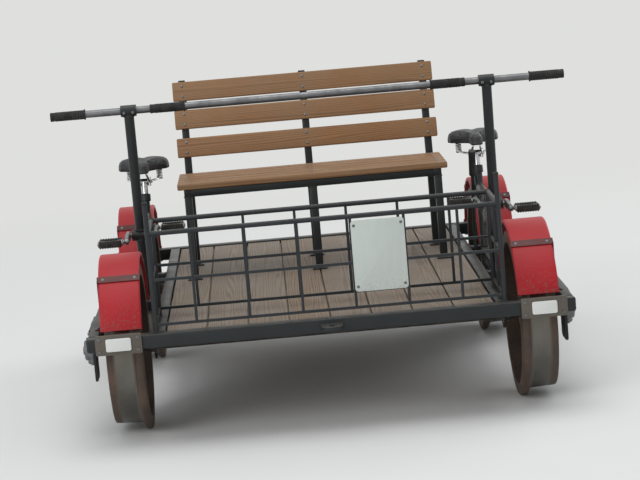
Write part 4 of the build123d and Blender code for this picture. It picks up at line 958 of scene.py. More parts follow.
def seat_slats(bolts):
    """The seat's slats with rounded edges, and the heads of their coach bolts."""
    bm = bmesh.new()
    for number in range(SEAT_SLATS):
        low = SEAT_LOW_Y + number * (SEAT_SLAT_W + SEAT_GAP)
        high = low + SEAT_SLAT_W
        rise = (BENCH_RAIL_Z[1], BENCH_TOP)
        plank(bm, about(0, BENCH_HALF_W), (low, high), rise, number + 10.5, SLAT_EDGE)
        for x in POST_X:
            dome(bolts, (x, (low + high) / 2, BENCH_TOP - HEAD_SINK), (0, 0, 1), 0.0075, 0.003)
    make("seat_slats", bm, "root", "bench_wood", ["bench_seat_slats"])


def back_slats(bolts):
    """The back's slats, leaning with the posts, and two bolt heads at each post."""
    bm = bmesh.new()
    tilt = Matrix.Rotation(-math.atan(BACK_LEAN), 4, "X")
    out = tilt.to_3x3() @ Vector((0, -1, 0))
    for number in range(BACK_SLATS):
        middle = BACK_LOW_Z + BACK_SLAT_W / 2 + number * (BACK_SLAT_W + BACK_GAP)
        face_y = BENCH_REAR_Y - BENCH_HALF + BACK_LEAN * (middle - BENCH_RAIL_Z[0])
        turn = Matrix.Translation((0, face_y, middle)) @ tilt
        size = (about(0, BENCH_HALF_W), (-BACK_THICK, 0), about(0, BACK_SLAT_W / 2))
        plank(bm, *size, number + 20.5, SLAT_EDGE, turn)
        for x in POST_X:
            for rise in (-BACK_BOLT_RISE, BACK_BOLT_RISE):
                seat = turn @ Vector((x, -BACK_THICK + HEAD_SINK, rise))
                dome(bolts, seat, out, 0.0065, 0.003)
    make("back_slats", bm, "root", "bench_wood", ["bench_back_slats"])


def slats():
    """Seat and back slats, held by coach bolts."""
    bolts = bmesh.new()
    seat_slats(bolts)
    back_slats(bolts)
    make("slat_bolts", bolts, "root", "bar_steel")


FOOT_HALF = 0.030
FOOT_THICK = 0.006
FOOT_SCREW_REACH = 0.031


def bench_foot(bm, fixings, x, y):
    """A leg with its foot plate, weld beads and four screw heads."""
    foot_z, rail_z = DECK_Z[1], BENCH_RAIL_Z[0]
    block(bm, about(x, BENCH_HALF), about(y, BENCH_HALF), (foot_z, rail_z + 0.001))
    block(bm, about(x, FOOT_HALF), about(y, FOOT_HALF), (foot_z, foot_z + FOOT_THICK), edge=0.002)
    for turn in (45, 135, 225, 315):
        turn = math.radians(turn)
        out = Vector((math.cos(turn), math.sin(turn), 0)) * FOOT_SCREW_REACH
        seat = Vector((x, y, foot_z + FOOT_THICK - HEAD_SINK)) + out
        dome(fixings, seat, (0, 0, 1), 0.0045, 0.0025, sides=12)
    for dx, dy in ((1, 0), (-1, 0), (0, 1), (0, -1)):
        side = Vector((abs(dy), abs(dx), 0)) * BENCH_HALF * 0.8
        for level, radius in ((foot_z + FOOT_THICK, 0.0028), (rail_z, 0.0025)):
            centre = Vector((x + dx * BENCH_HALF, y + dy * BENCH_HALF, level))
            bead(bm, centre - side, centre + side, radius)


def bench_frame():
    """Welded square tube frame of the bench, with foot plates and capped posts."""
    bm, fixings = bmesh.new(), bmesh.new()
    low_z, high_z = BENCH_RAIL_Z
    lean = Matrix.Identity(4)
    lean[1][2] = BACK_LEAN
    lean[1][3] = -BACK_LEAN * low_z
    between = BENCH_SIDE_X - BENCH_HALF + 0.001
    for y in BENCH_Y:
        block(bm, about(0, between), about(y, BENCH_HALF), BENCH_RAIL_Z)
    block(bm, about(0, BENCH_HALF), (BENCH_FRONT_Y + BENCH_HALF, BENCH_REAR_Y - BENCH_HALF), BENCH_RAIL_Z)
    for x in (-BENCH_SIDE_X, BENCH_SIDE_X):
        depth = (BENCH_FRONT_Y - BENCH_HALF, BENCH_REAR_Y + BENCH_HALF)
        block(bm, about(x, BENCH_HALF), depth, BENCH_RAIL_Z)
    cap_y = BENCH_REAR_Y + BACK_LEAN * (BACK_TOP - low_z)
    cap_half = BENCH_HALF - 0.001
    for x in POST_X:
        rise = (high_z - 0.001, BACK_TOP - 0.003)
        block(bm, about(x, BENCH_HALF), about(BENCH_REAR_Y, BENCH_HALF), rise, turn=lean)
        block(fixings, about(x, cap_half), about(cap_y, cap_half), (BACK_TOP - 0.006, BACK_TOP), edge=0.002)
        for y in BENCH_Y:
            bench_foot(bm, fixings, x, y)
    make("bench_tubes", bm, "root", "frame_paint", ["bench_frame"])
    make("bench_fixings", fixings, "root", "grip_rubber")


deck()
slats()
bench_frame()


# Bearings, guards and plates
GUARD_OUTER = 0.876
FLANGE_HALF = 0.052
FLANGE_THICK = 0.012
BEARING_BOLT = 0.037
BEARING_BOLT_SIZE = 0.0095
GUARD_BOLT_Y = (-0.118, -0.082, 0.082, 0.118)
GUARD_BOLT_Z = 0.388
GUARD_BOLT_SIZE = 0.0085
NIPPLE_X = 0.022
NIPPLE_RISE = 0.037
BOSS_SECTION = rounded([
    (8, 15.1, 0),
    (8, 47, 0),
    (14, 40, 4),
    (31, 37, 0),
    (34, 33, 3),
    (34, 22, 2),
    (31, 20, 1),
    (31, 15.1, 0),
])


def plate(bm, xs, ys, zs, axis, corner, edge=0.0012):
    """A plate with round corners about one axis (0, 1 or 2) and softened rims."""
    old = set(bm.faces)
    ease(bm, [post for post in cuboid(bm, xs, ys, zs) if length_along(post, axis) > 1e-6], corner, 6)
    fresh = [face for face in bm.faces if face not in old]
    for face in fresh:
        face.normal_update()
    ease(bm, {rim for face in fresh if abs(face.normal[axis]) > 0.99 for rim in face.edges}, edge, 2)


def bearings():
    """Cast flange bearings with four bolts and a grease nipple, on the axle guards."""
    housings, fixings = bmesh.new(), bmesh.new()
    face_x = GUARD_OUTER + FLANGE_THICK
    for end in ENDS:
        axle = JOINT_AT[f"wheels_{end}"]
        ys, zs = about(axle.y, FLANGE_HALF), about(axle.z, FLANGE_HALF)
        plate(housings, (GUARD_OUTER, face_x), ys, zs, 0, 0.020, 0.002)
        turned(housings, BOSS_SECTION, (GUARD_OUTER, axle.y, axle.z), steps=40)
        nipple = Vector((GUARD_OUTER + NIPPLE_X, axle.y, axle.z + NIPPLE_RISE))
        head = nipple + millimetres(0, 0, 7)
        rod(fixings, nipple, head, 0.0042, sides=6)
        dome(fixings, head, (0, 0, 1), 0.0032, 0.004, sides=10)
        for y in about(axle.y, BEARING_BOLT):
            for z in about(axle.z, BEARING_BOLT):
                bolt(fixings, (face_x, y, z), (1, 0, 0), BEARING_BOLT_SIZE)
        for y in GUARD_BOLT_Y:
            bolt(fixings, (GUARD_OUTER, axle.y + y, GUARD_BOLT_Z), (1, 0, 0), GUARD_BOLT_SIZE)
    both_sides(housings)
    both_sides(fixings)
    make("bearing_housings", housings, "root", "bearing_grey", ["axle_bearings"])
    make("bearing_bolts", fixings, "root", "bar_steel")


END_PLATE_W = 0.165
END_PLATE_INSET = 0.014
END_BOLT_SIZE = 0.006
LENS_W = 0.090


def end_plates():
    """Grey plates with bolted corners, each with a moulded reflector, at both ends."""
    for name, end in ENDS.items():
        plates, lenses, bolts = bmesh.new(), bmesh.new(), bmesh.new()
        low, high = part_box(f"end_plates_{name}")
        lens_low, lens_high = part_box(f"reflectors_{name}")
        face_y = end * max(abs(low.y), abs(high.y))
        for side in SIDES.values():
            inner, outer = span(side, high.x - END_PLATE_W, high.x)
            plate(plates, (inner, outer), (low.y, high.y), (low.z, high.z), 1, 0.006)
            across = span(side, lens_high.x - LENS_W, lens_high.x)
            lens_y, lens_z = (lens_low.y, lens_high.y), (lens_low.z, lens_high.z)
            plate(lenses, across, lens_y, lens_z, 1, 0.007, 0.002)
            for x in (inner + END_PLATE_INSET, outer - END_PLATE_INSET):
                for z in (low.z + END_PLATE_INSET, high.z - END_PLATE_INSET):
                    bolt(bolts, (x, face_y, z), (0, end, 0), END_BOLT_SIZE)
        make(f"plates_{name}", plates, "root", "plate_grey", [f"end_plates_{name}"])
        slot = SLOT_OF[f"reflectors_{name}"]
        make(f"lenses_{name}", lenses, "root", slot, [f"reflectors_{name}"])
        make(f"plate_bolts_{name}", bolts, "root", "bar_steel")


STRAP_R = 0.352
STRAP_ANGLE = math.radians(55)
STRAP_RIVET_X = (0.690, 0.805)
STRAP_FOOT_X = 0.837
STRAP_FOOT_Z = 0.418
STRAP_BOLT_SIZE = 0.0065


def strap_bolts():
    """Round rivets through the straps' bands and bolts through their feet."""
    bm = bmesh.new()
    for end in ENDS:
        axle = JOINT_AT[f"wheels_{end}"]
        for side in SIDES.values():
            for turn in (math.pi - STRAP_ANGLE, STRAP_ANGLE):
                out = spoke(turn)
                for x in STRAP_RIVET_X:
                    seat = Vector((side * x, axle.y, axle.z)) + out * (STRAP_R - HEAD_SINK)
                    dome(bm, seat, out, 0.007, 0.003)
                foot_y = axle.y + out.y * GUARD_R / 1000
                bolt(bm, (side * STRAP_FOOT_X, foot_y, STRAP_FOOT_Z), (0, 0, 1), STRAP_BOLT_SIZE)
    make("strap_bolts", bm, "root", "bar_steel")


SIGN_RIVET_X = 0.011
SIGN_RIVET_Z = 0.018


def sign():
    """Blank coated plate with rounded corners, riveted to two bars of the basket."""
    low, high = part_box("sign_plate")
    bm = bmesh.new()
    plate(bm, *zip(low, high), 1, 0.012, 0.0008)
    make("blank_sign", bm, "root", "sign_white", ["sign_plate"])
    rivets = bmesh.new()
    for x in (low.x + SIGN_RIVET_X, high.x - SIGN_RIVET_X):
        for z in (low.z + SIGN_RIVET_Z, high.z - SIGN_RIVET_Z):
            dome(rivets, (x, low.y + 0.0003, z), (0, -1, 0), 0.0055, 0.0025)
    make("sign_rivets", rivets, "root", "bar_steel")


bearings()
end_plates()
strap_bolts()
sign()


# Basket and pedal stands
BASKET_X = 0.622
BASKET_POST_R = 0.009
BASKET_RAIL_Z = 0.767
BASKET_WELD_R = 0.0025
POST_CAP_H = 0.012


def basket_fittings():
    """Domed caps on the front posts, weld beads round the posts' feet and at the rails."""
    low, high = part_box("basket_frame")
    radius = BASKET_POST_R
    caps, welds = bmesh.new(), bmesh.new()
    front, rear = low.y + radius, high.y - radius
    for side in SIDES.values():
        x = side * BASKET_X
        rod(caps, (x, front, high.z - POST_CAP_H), (x, front, high.z), radius + 0.0012, edge=0.003)
        for y, inward in ((front, 1), (rear, -1)):
            ring_bead(welds, (x, y, FRAME_TOP + 0.001), (0, 0, 1), radius + 0.001, WELD_R)
            ring_bead(welds, (x - side * radius, y, BASKET_RAIL_Z), (1, 0, 0), radius, BASKET_WELD_R)
            ring_bead(welds, (x, y + inward * radius, BASKET_RAIL_Z), (0, 1, 0), radius, BASKET_WELD_R)
    make("post_caps", caps, "root", "grip_rubber")
    make("basket_weld_beads", welds, "root", "basket_paint")


STATION_X = 0.690
SEAT_LEAN = math.tan(math.radians(16.7))
SEAT_FOOT_Y = 0.290
SEAT_TUBE_TOP = 0.740
BAR_Z = 1.143
BAR_BACK = 0.045
MAST_BEAD_R = 0.0195
SEAT_TUBE_R = 0.018
STAY_BEAD_R = 0.0175
CLAMP_BOLT_X_MM = 17
CLAMP_BOLT_SIZE = 0.0055


def seat_axis(z):
    """The point of the seat tube's axis at a height."""
    return Vector((STATION_X, SEAT_FOOT_Y + (z - FRAME_TOP) * SEAT_LEAN, z))


def stand_fittings():
    """Weld beads at the stands' joints, bolts of the bar clamp and of the seat tube's collar."""
    welds, bolts = bmesh.new(), bmesh.new()
    shell = JOINT_AT["crank_right"]
    bar = Vector((STATION_X, shell.y - BAR_BACK, BAR_Z))
    up = (bar - shell).normalized()
    along_seat = (seat_axis(1.0) - seat_axis(0.0)).normalized()
    joints = (
        (Vector((STATION_X, shell.y, FRAME_TOP)), (0, 0, 1), MAST_BEAD_R),
        (shell - millimetres(0, 0, 21), (0, 0, 1), MAST_BEAD_R),
        (shell + up * 0.021, up, MAST_BEAD_R),
        (bar - up * 0.021, up, MAST_BEAD_R),
        (shell + millimetres(0, 21, 0), (0, 1, 0), STAY_BEAD_R),
        (seat_axis(shell.z) - millimetres(0, 18, 0), (0, 1, 0), STAY_BEAD_R),
        (seat_axis(FRAME_TOP + 0.002), along_seat, SEAT_TUBE_R),
    )
    for centre, axis, radius in joints:
        ring_bead(welds, centre, axis, radius)
    for x in (-CLAMP_BOLT_X_MM, CLAMP_BOLT_X_MM):
        bolt(bolts, bar + millimetres(x, -21.5, -6), (0, -1, 0), CLAMP_BOLT_SIZE)
    bolt(bolts, seat_axis(SEAT_TUBE_TOP - 0.013) + millimetres(0, 22.5, 0), (0, 1, 0), CLAMP_BOLT_SIZE)
    both_sides(welds)
    both_sides(bolts)
    make("stand_weld_beads", welds, "root", "frame_paint")
    make("stand_bolts", bolts, "root", "bar_steel")


basket_fittings()
stand_fittings()


# Grips; lengths and radii of the outlines in millimetres
GRIP_LENGTH = 135.0
GRIP_BORE_R = 14.1
GRIP_RIB = 9.0
GRIP_OUTER_X = 0.9225
GRIP_INNER_X = 0.540
LEVER_TOP = (0.150, 0.830)
LEVER_KNEE = (0.296, 0.474)
SLEEVE_RIBS = 11
SLEEVE_PITCH = 0.0102
SLEEVE_RIB = 0.0085


def grip_outline(closed):
    """Section of a ribbed sleeve from its inner end, with a collar, and an end cap if it is closed."""
    half = GRIP_LENGTH / 2
    corners = [(-half, GRIP_BORE_R, 0), (-half, 20.5, 1.5), (-half + 5, 20.5, 1.5), (-half + 6, 17, 0.8)]
    for number in range(int((GRIP_LENGTH - 22) // GRIP_RIB)):
        low = -half + 8 + number * GRIP_RIB
        corners += [(low, 16.6, 0.6), (low + 1.6, 18, 0.8), (low + 7.0, 18, 0.8), (low + 8.6, 16.6, 0.6)]
    corners += [(half - 6, 17.4, 1), (half, 17.4, 3)]
    cap = [(half, 3, 0), (half - 1.5, 3, 0), (half - 1.5, GRIP_BORE_R, 0)]
    return rounded(corners + (cap if closed else [(half, GRIP_BORE_R, 0)]), steps=3)


def grips():
    """Ribbed rubber sleeves, the outer ones closed over the bar's ends."""
    bm = bmesh.new()
    bar_y = JOINT_AT["crank_right"].y - BAR_BACK
    for middle, closed in ((GRIP_OUTER_X, True), (GRIP_INNER_X, False)):
        turned(bm, grip_outline(closed), (middle, bar_y, BAR_Z), steps=32)
    disc = [GRIP_OUTER_X + reach for reach in (0.0662, 0.0674)]
    cross_rod(bm, disc, Vector((0, bar_y, BAR_Z)), 0.0145, sides=24)
    both_sides(bm)
    make("ribbed_grips", bm, "root", "grip_rubber", ["hand_grips"])


def lever_sleeve():
    """Ribbed sleeve on the brake lever's upper end."""
    low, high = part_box("brake_lever")
    top, knee = (Vector(((low.x + high.x) / 2, *point)) for point in (LEVER_TOP, LEVER_KNEE))
    down = (knee - top).normalized()
    bm = bmesh.new()
    for number in range(SLEEVE_RIBS):
        begin = top + down * (0.001 + number * SLEEVE_PITCH)
        rod(bm, begin, begin + down * SLEEVE_RIB, 0.0148, sides=24, edge=0.0018)
    rod(bm, top + down * 0.0005, top + down * 0.114, 0.0136, sides=24, edge=0.002)
    make("lever_sleeve", bm, "root", "grip_rubber")


grips()
lever_sleeve()


# Chains
CHAIN_LINE = 0.648
PITCH = 0.0127
RING_TEETH = 36
SPROCKET_TEETH = 24
RING_R = PITCH / (2 * math.sin(math.pi / RING_TEETH))
SPROCKET_R = PITCH / (2 * math.sin(math.pi / SPROCKET_TEETH))
PEDAL_AXIS = JOINT_AT["crank_right"]
DRIVEN_AXLE = JOINT_AT["wheels_front"]
DRIVE_LINE = Vector((0, PEDAL_AXIS.y - DRIVEN_AXLE.y, PEDAL_AXIS.z - DRIVEN_AXLE.z))
LINE_TURN = math.atan2(DRIVE_LINE.z, DRIVE_LINE.y)
CHAIN_SLOPE = math.asin((RING_R - SPROCKET_R) / DRIVE_LINE.length)
STRAIGHT_LINKS = DRIVE_LINE.length * math.cos(CHAIN_SLOPE) / PITCH
RING_LINKS = (math.pi + 2 * CHAIN_SLOPE) * RING_TEETH / FULL_TURN
SPROCKET_LINKS = (math.pi - 2 * CHAIN_SLOPE) * SPROCKET_TEETH / FULL_TURN
CHAIN_LINKS = round(2 * STRAIGHT_LINKS + RING_LINKS + SPROCKET_LINKS)
PLATE_X = {"inner": 0.0026, "outer": 0.0036}
PLATE_R = 0.0041
PLATE_THICK = 0.0009
# Reach to each side, radius and number of sides of a roller and of a pin
ROLLER = (0.0021, 0.0039, 10)
PIN = (0.0044, 0.0018, 8)


def beside(centre, across):
    """A point beside a wheel's centre, measured from the chain's line."""
    return Vector((CHAIN_LINE + across, centre.y, centre.z))


def around(centre, turn, radius):
    """A point on a wheel, at an angle from the line of the two axes."""
    return beside(centre, 0) + spoke(turn + LINE_TURN, radius)


def chain_pin(links):
    """Where the pin sits that lies a number of links after the upper run leaves the sprocket."""
    leaves = math.pi / 2 + CHAIN_SLOPE
    if links <= STRAIGHT_LINKS:
        begin, end = around(DRIVEN_AXLE, leaves, SPROCKET_R), around(PEDAL_AXIS, leaves, RING_R)
        return begin.lerp(end, links / STRAIGHT_LINKS)
    links -= STRAIGHT_LINKS
    if links <= RING_LINKS:
        return around(PEDAL_AXIS, leaves - links * FULL_TURN / RING_TEETH, RING_R)
    links -= RING_LINKS
    if links <= STRAIGHT_LINKS:
        begin, end = around(PEDAL_AXIS, -leaves, RING_R), around(DRIVEN_AXLE, -leaves, SPROCKET_R)
        return begin.lerp(end, links / STRAIGHT_LINKS)
    links -= STRAIGHT_LINKS
    return around(DRIVEN_AXLE, -leaves - links * FULL_TURN / SPROCKET_TEETH, SPROCKET_R)


def strap(bm, begin, end, radii, thick, sides=16, edge=0.0):
    """A flat bar with round ends between two points, thick along X, drawn tight round two discs."""
    hull = bmesh.new()
    for point, radius in zip((begin, end), radii):
        point = Vector(point)
        cross_rod(hull, about(point.x, thick / 2), point, radius, sides=sides)
    bmesh.ops.delete(hull, geom=hull.edges[:] + hull.faces[:], context="EDGES_FACES")
    bmesh.ops.convex_hull(hull, input=hull.verts[:])
    loose = [vert for vert in hull.verts if not vert.link_faces]
    bmesh.ops.delete(hull, geom=loose, context="VERTS")
    bmesh.ops.dissolve_limit(hull, angle_limit=math.radians(1), verts=hull.verts[:], edges=hull.edges[:])
    if edge:
        ease(hull, rims_of(hull.edges), edge)
    absorbed(bm, hull)


def link_mesh(kind):
    """One link of roller chain: two plates, and on inner links the rollers, on outer ones the pins."""
    bm = bmesh.new()
    ends = about(0, PITCH / 2)
    for x in (PLATE_X[kind], -PLATE_X[kind]):
        front, rear = (Vector((x, y, 0)) for y in ends)
        strap(bm, front, rear, (PLATE_R, PLATE_R), PLATE_THICK, sides=10)
    reach, radius, sides = ROLLER if kind == "inner" else PIN
    for y in ends:
        cross_rod(bm, about(0, reach), Vector((0, y, 0)), radius, sides=sides)
    return as_mesh(f"{kind}_link", bm)


def chains():
    """Two closed roller chains, link by link along the loop."""
    right = bmesh.new()
    links = [link_mesh(kind) for kind in PLATE_X]
    for number in range(CHAIN_LINKS):
        begin, end = chain_pin(number), chain_pin((number + 1) % CHAIN_LINKS)
        run = (end - begin).normalized()
        placed = links[number % 2].copy()
        turn = Matrix.Rotation(math.atan2(run.z, run.y), 4, "X")
        placed.transform(Matrix.Translation((begin + end) / 2) @ turn)
        right.from_mesh(placed)
        bpy.data.meshes.remove(placed)
    for link in links:
        bpy.data.meshes.remove(link)
    sided("roller_chain", right, "root", "chain_steel", ["chain"])


chains()


# Rings and sprockets
TOOTH_W = 0.003
GAP_HALF = 0.004
GAP_R = 0.0044
TIP_RISE = 0.0011
FLANK_START = -0.0018
FLANK_SLOPE = 2.3
WINDOW_R = 0.014
WINDOW_PITCH_R = 0.041
RING_WINDOWS = 5
RING_BOLT_PITCH_R = 0.020
SPINDLE_R = 0.009
LIGHTENING_R = 0.004
LIGHTENING_PITCH_R = 0.036
SPROCKET_HUB_R = 0.028
SPROCKET_HUB_END = 0.674
AXLE_R = 0.015


def toothed(centre, radius, teeth, links, bore, windows):
    """A toothed disc with round seats for the chain's rollers, bored and pierced by round windows."""
    bm = bmesh.new()
    pin = chain_pin(math.ceil(links))
    first = math.atan2(pin.z - centre.z, pin.y - centre.y)
    place = Matrix.Translation(beside(centre, -TOOTH_W / 2)) @ Matrix.Rotation(math.pi / 2, 4, "Y")
    made = bmesh.ops.create_circle(bm, cap_ends=True, radius=radius, segments=teeth * 12, matrix=place)
    for vert in made["verts"]:
        turn = math.atan2(vert.co.z - centre.z, vert.co.y - centre.y)
        phase = (turn - first) * teeth / FULL_TURN
        across = abs(phase - round(phase)) * PITCH
        if across < GAP_HALF:
            reach = radius - math.sqrt(GAP_R ** 2 - across ** 2)
        else:
            reach = radius + min(TIP_RISE, FLANK_START + (across - GAP_HALF) * FLANK_SLOPE)
        vert.co = Vector((vert.co.x, centre.y, centre.z)) + spoke(turn, reach)
    faces = list({face for vert in made["verts"] for face in vert.link_faces})
    grown = bmesh.ops.extrude_face_region(bm, geom=faces)
    bmesh.ops.translate(bm, vec=(TOOTH_W, 0, 0), verts=only(BM_VERT, grown["geom"]))
    holes = bmesh.new()
    cross_rod(holes, about(CHAIN_LINE, 0.02), centre, bore, sides=32)
    count, begin, pitch_r, hole_r, sides = windows
    for number in range(count):
        hole = centre + spoke(begin + number * FULL_TURN / count, pitch_r)
        cross_rod(holes, about(CHAIN_LINE, 0.01), hole, hole_r, sides=sides)
    return combined(bm, holes)


def chainrings():
    """Stamped rings with round windows, five bolts and round-bottomed gaps between the teeth."""
    windows = (RING_WINDOWS, LINE_TURN, WINDOW_PITCH_R, WINDOW_R, 28)
    bore = SPINDLE_R + 0.0002
    ring = toothed(PEDAL_AXIS, RING_R, RING_TEETH, STRAIGHT_LINKS, bore, windows)
    sided("stamped_chainring", ring, "crank_right", "ring_steel", ["chainring"])
    bolts = bmesh.new()
    for number in range(RING_WINDOWS):
        out = spoke(LINE_TURN + (number + 0.5) * FULL_TURN / RING_WINDOWS, RING_BOLT_PITCH_R)
        for way in (-1, 1):
            seat = beside(PEDAL_AXIS, way * (TOOTH_W / 2 - 0.0002)) + out
            dome(bolts, seat, (way, 0, 0), 0.0028, 0.0014, sides=10)
    sided("ring_bolts", bolts, "crank_right", "bar_steel")


def sprockets():
    """Driven sprockets with their turned hubs, locked to the front axle by set screws."""
    windows = (6, 0.0, LIGHTENING_PITCH_R, LIGHTENING_R, 16)
    links = 2 * STRAIGHT_LINKS + RING_LINKS
    cut = toothed(DRIVEN_AXLE, SPROCKET_R, SPROCKET_TEETH, links, AXLE_R + 0.0001, windows)
    length = (SPROCKET_HUB_END - CHAIN_LINE) * 1000
    hub = rounded([(1, 28, 0.8), (length - 2, 28, 1.2), (length, 26, 0.8), (length, 15.1, 0), (1, 15.1, 0)])
    turned(cut, hub, beside(DRIVEN_AXLE, 0), steps=40)
    for turn in (70, 190, 310):
        out = spoke(math.radians(turn))
        seat = beside(DRIVEN_AXLE, 0.015) + out * (SPROCKET_HUB_R - 0.001)
        bolt(cut, seat, out, 0.0055, washer=False)
    both_sides(cut)
    make("turned_sprockets", cut, "wheelset_front", "ring_steel", ["drive_sprockets"])


chainrings()
sprockets()


# Cranks and pedals
CRANK_LENGTH = 0.170
INNER_ARM = (0.625, 0.639)
OUTER_ARM = (0.730, 0.744)
ARM_RADII = (0.017, 0.012)
PIN_REACH = 0.100
PEDAL_END_PLATE = 0.003
PEDAL_BLOCK_Y = 0.034
PEDAL_BLOCK = (0.0115, 0.0122)
PEDAL_RIB = (0.013, 0.014)
PEDAL_RIBS = 9
RIB_GAP = 0.0032
CAGE_HALF = (0.043, 0.010)


def outwards(out, reach):
    """A step along X to the side that its sign gives."""
    return Vector((out * reach, 0, 0))


def cranks():
    """Forged cranks with rounded arms, a square-shouldered boss, capped spindle and pedal pins."""
    bm = bmesh.new()
    for (low, high), way, out in ((OUTER_ARM, -1, 1), (INNER_ARM, 1, -1)):
        half = (high - low) / 2
        root = Vector(((low + high) / 2, PEDAL_AXIS.y, PEDAL_AXIS.z))
        tip = root + Vector((0, way * CRANK_LENGTH, 0))
        strap(bm, root, tip, ARM_RADII, high - low, sides=40, edge=0.003)
        face, cap = root + outwards(out, half), root + outwards(out, half + 0.0025)
        rod(bm, face, cap, 0.0125, sides=32, edge=0.001)
        bolt(bm, cap, (out, 0, 0), 0.0075, washer=False)
        reach = (low, high + PIN_REACH) if out > 0 else (low - PIN_REACH, high)
        cross_rod(bm, reach, tip, 0.006, sides=24, edge=0.001)
        rod(bm, tip + outwards(out, half), tip + outwards(out, half + 0.003), 0.009, sides=6, edge=0.0006)
        dome(bm, tip - outwards(out, half - 0.0004), (-out, 0, 0), 0.0075, 0.002)
    cross_rod(bm, (INNER_ARM[0], OUTER_ARM[1]), PEDAL_AXIS, SPINDLE_R, sides=32)
    boss = rounded([(0, 10, 0), (0, 15, 1), (6.5, 15, 1), (6.5, 10, 0)])
    turned(bm, boss, (INNER_ARM[1], PEDAL_AXIS.y, PEDAL_AXIS.z), steps=32)
    sided("forged_cranks", bm, "crank_right", "crank_steel", ["crankset"])


def barrel_outline(length):
    """Section of a pedal's barrel, narrow in the middle and just short of its end plates."""
    begin, end = 0.8, length - 0.8
    return rounded([
        (begin, 6.3, 0),
        (begin, 11, 1),
        (begin + 17, 11, 3),
        (begin + 24, 8.6, 3),
        (end - 24, 8.6, 3),
        (end - 17, 11, 3),
        (end, 11, 1),
        (end, 6.3, 0),
    ])


def pedals():
    """Pedals with two ribbed rubber blocks in a pressed steel cage, and a domed nut on the pin."""
    for place, out in (("outer", 1), ("inner", -1)):
        node = f"pedal_right_{place}"
        low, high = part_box(node)
        axis = JOINT_AT[node]
        rubbers, cage = bmesh.new(), bmesh.new()
        inside, outside = low.x + PEDAL_END_PLATE, high.x - PEDAL_END_PLATE
        pitch = (outside - inside) / PEDAL_RIBS
        for middle in about(axis.y, PEDAL_BLOCK_Y):
            half_y, half_z = PEDAL_BLOCK
            block(rubbers, (inside, outside), about(middle, half_y), about(axis.z, half_z), edge=0.005)
            half_y, half_z = PEDAL_RIB
            for number in range(PEDAL_RIBS):
                begin = inside + number * pitch + RIB_GAP / 2
                along_x = (begin, begin + pitch - RIB_GAP)
                block(rubbers, along_x, about(middle, half_y), about(axis.z, half_z), edge=0.0028)
            for x, way in ((low.x, -1), (high.x, 1)):
                bolt(cage, (x, middle, axis.z), (way, 0, 0), 0.0042, washer=False)
        half_y, half_z = CAGE_HALF
        for x in (low.x, outside):
            ys, zs = about(axis.y, half_y), about(axis.z, half_z)
            plate(cage, (x, x + PEDAL_END_PLATE), ys, zs, 0, 0.009, 0.0008)
        turned(cage, barrel_outline((high.x - low.x) * 1000), (low.x, axis.y, axis.z), steps=32)
        nut = Vector(((high.x if out > 0 else low.x) - out * 0.0005, axis.y, axis.z))
        rod(cage, nut, nut + outwards(out, 0.0025), 0.0095, sides=6, edge=0.0005)
        dome(cage, nut + outwards(out, 0.0024), (out, 0, 0), 0.0072, 0.0026, sides=20)
        sided(f"pedal_rubbers_{place}", rubbers, node, "pedal_rubber", [node])
        sided(f"pedal_cage_{place}", cage, node, "crank_steel", [node])


cranks()
pedals()


# Saddles
RAIL_Z = 0.7907
CLAMP_AT = Vector((STATION_X, 0.403, RAIL_Z))
CLAMP_HALF = 0.021
CLAMP_DISC_R = 0.019
CLAMP_DISCS = ((0.0165, 0.0205), (0.0250, 0.0285))
POST_R = 0.0135
RAIL_SPREAD = 0.0245
SPRING_SPREAD = 0.062
SPRING_Y = 0.5087
SPRING_TOP = 0.8327
SPRING_CUP_R = 0.0130
NOSE_SPREAD = 0.014
NOSE_Y = 0.3487
NOSE_Z = 0.8282
WIRE_R = 0.0045
# Points of a saddle rail from the nose to the spring: across, along and height
RAIL_POINTS = (
    (NOSE_SPREAD, NOSE_Y - 0.004, NOSE_Z - 0.0005),
    (NOSE_SPREAD, NOSE_Y + 0.006, NOSE_Z - 0.001),
    (RAIL_SPREAD * 0.85, CLAMP_AT.y - 0.028, RAIL_Z + 0.010),
    (RAIL_SPREAD, CLAMP_AT.y - 0.016, RAIL_Z),
    (RAIL_SPREAD, CLAMP_AT.y, RAIL_Z),
    (RAIL_SPREAD, CLAMP_AT.y + 0.020, RAIL_Z),
    (SPRING_SPREAD - 0.006, SPRING_Y - 0.026, RAIL_Z),
    (SPRING_SPREAD, SPRING_Y, RAIL_Z),
)


def wire(bm, points, radius, closed=False):
    """A round wire bent smoothly along a few points."""
    curve = bpy.data.curves.new("wire", "CURVE")
    curve.dimensions = "3D"
    curve.bevel_depth = radius
    curve.bevel_resolution = 3
    curve.use_fill_caps = True
    spline = curve.splines.new("NURBS")
    spline.points.add(len(points) - 1)
    for knot, point in zip(spline.points, points):
        knot.co = (*point, 1.0)
    spline.order_u = 3
    spline.use_endpoint_u = not closed
    spline.use_cyclic_u = closed
    spline.resolution_u = 6
    item = stand("wire", curve)
    shape = evaluated(item)
    bm.from_mesh(shape)
    bpy.data.objects.remove(item)
    bpy.data.curves.remove(curve)
    bpy.data.meshes.remove(shape)


def coil(bm, foot, height, radius, wire_radius, turns):
    """A coil spring of round wire that stands on a point."""
    begin = foot + Vector((radius, 0, wire_radius))
    place = Matrix.Translation(begin) @ Matrix.Rotation(math.pi / 2, 4, "X")
    made = bmesh.ops.create_circle(bm, cap_ends=False, radius=wire_radius, segments=8, matrix=place)
    verts = made["verts"]
    steps = turns * 20
    rise = Vector((0, 0, (height - 2 * wire_radius) / steps))
    spun(bm, verts, edges_of(verts), steps, turns * FULL_TURN, cent=foot, axis=(0, 0, 1), dvec=rise)


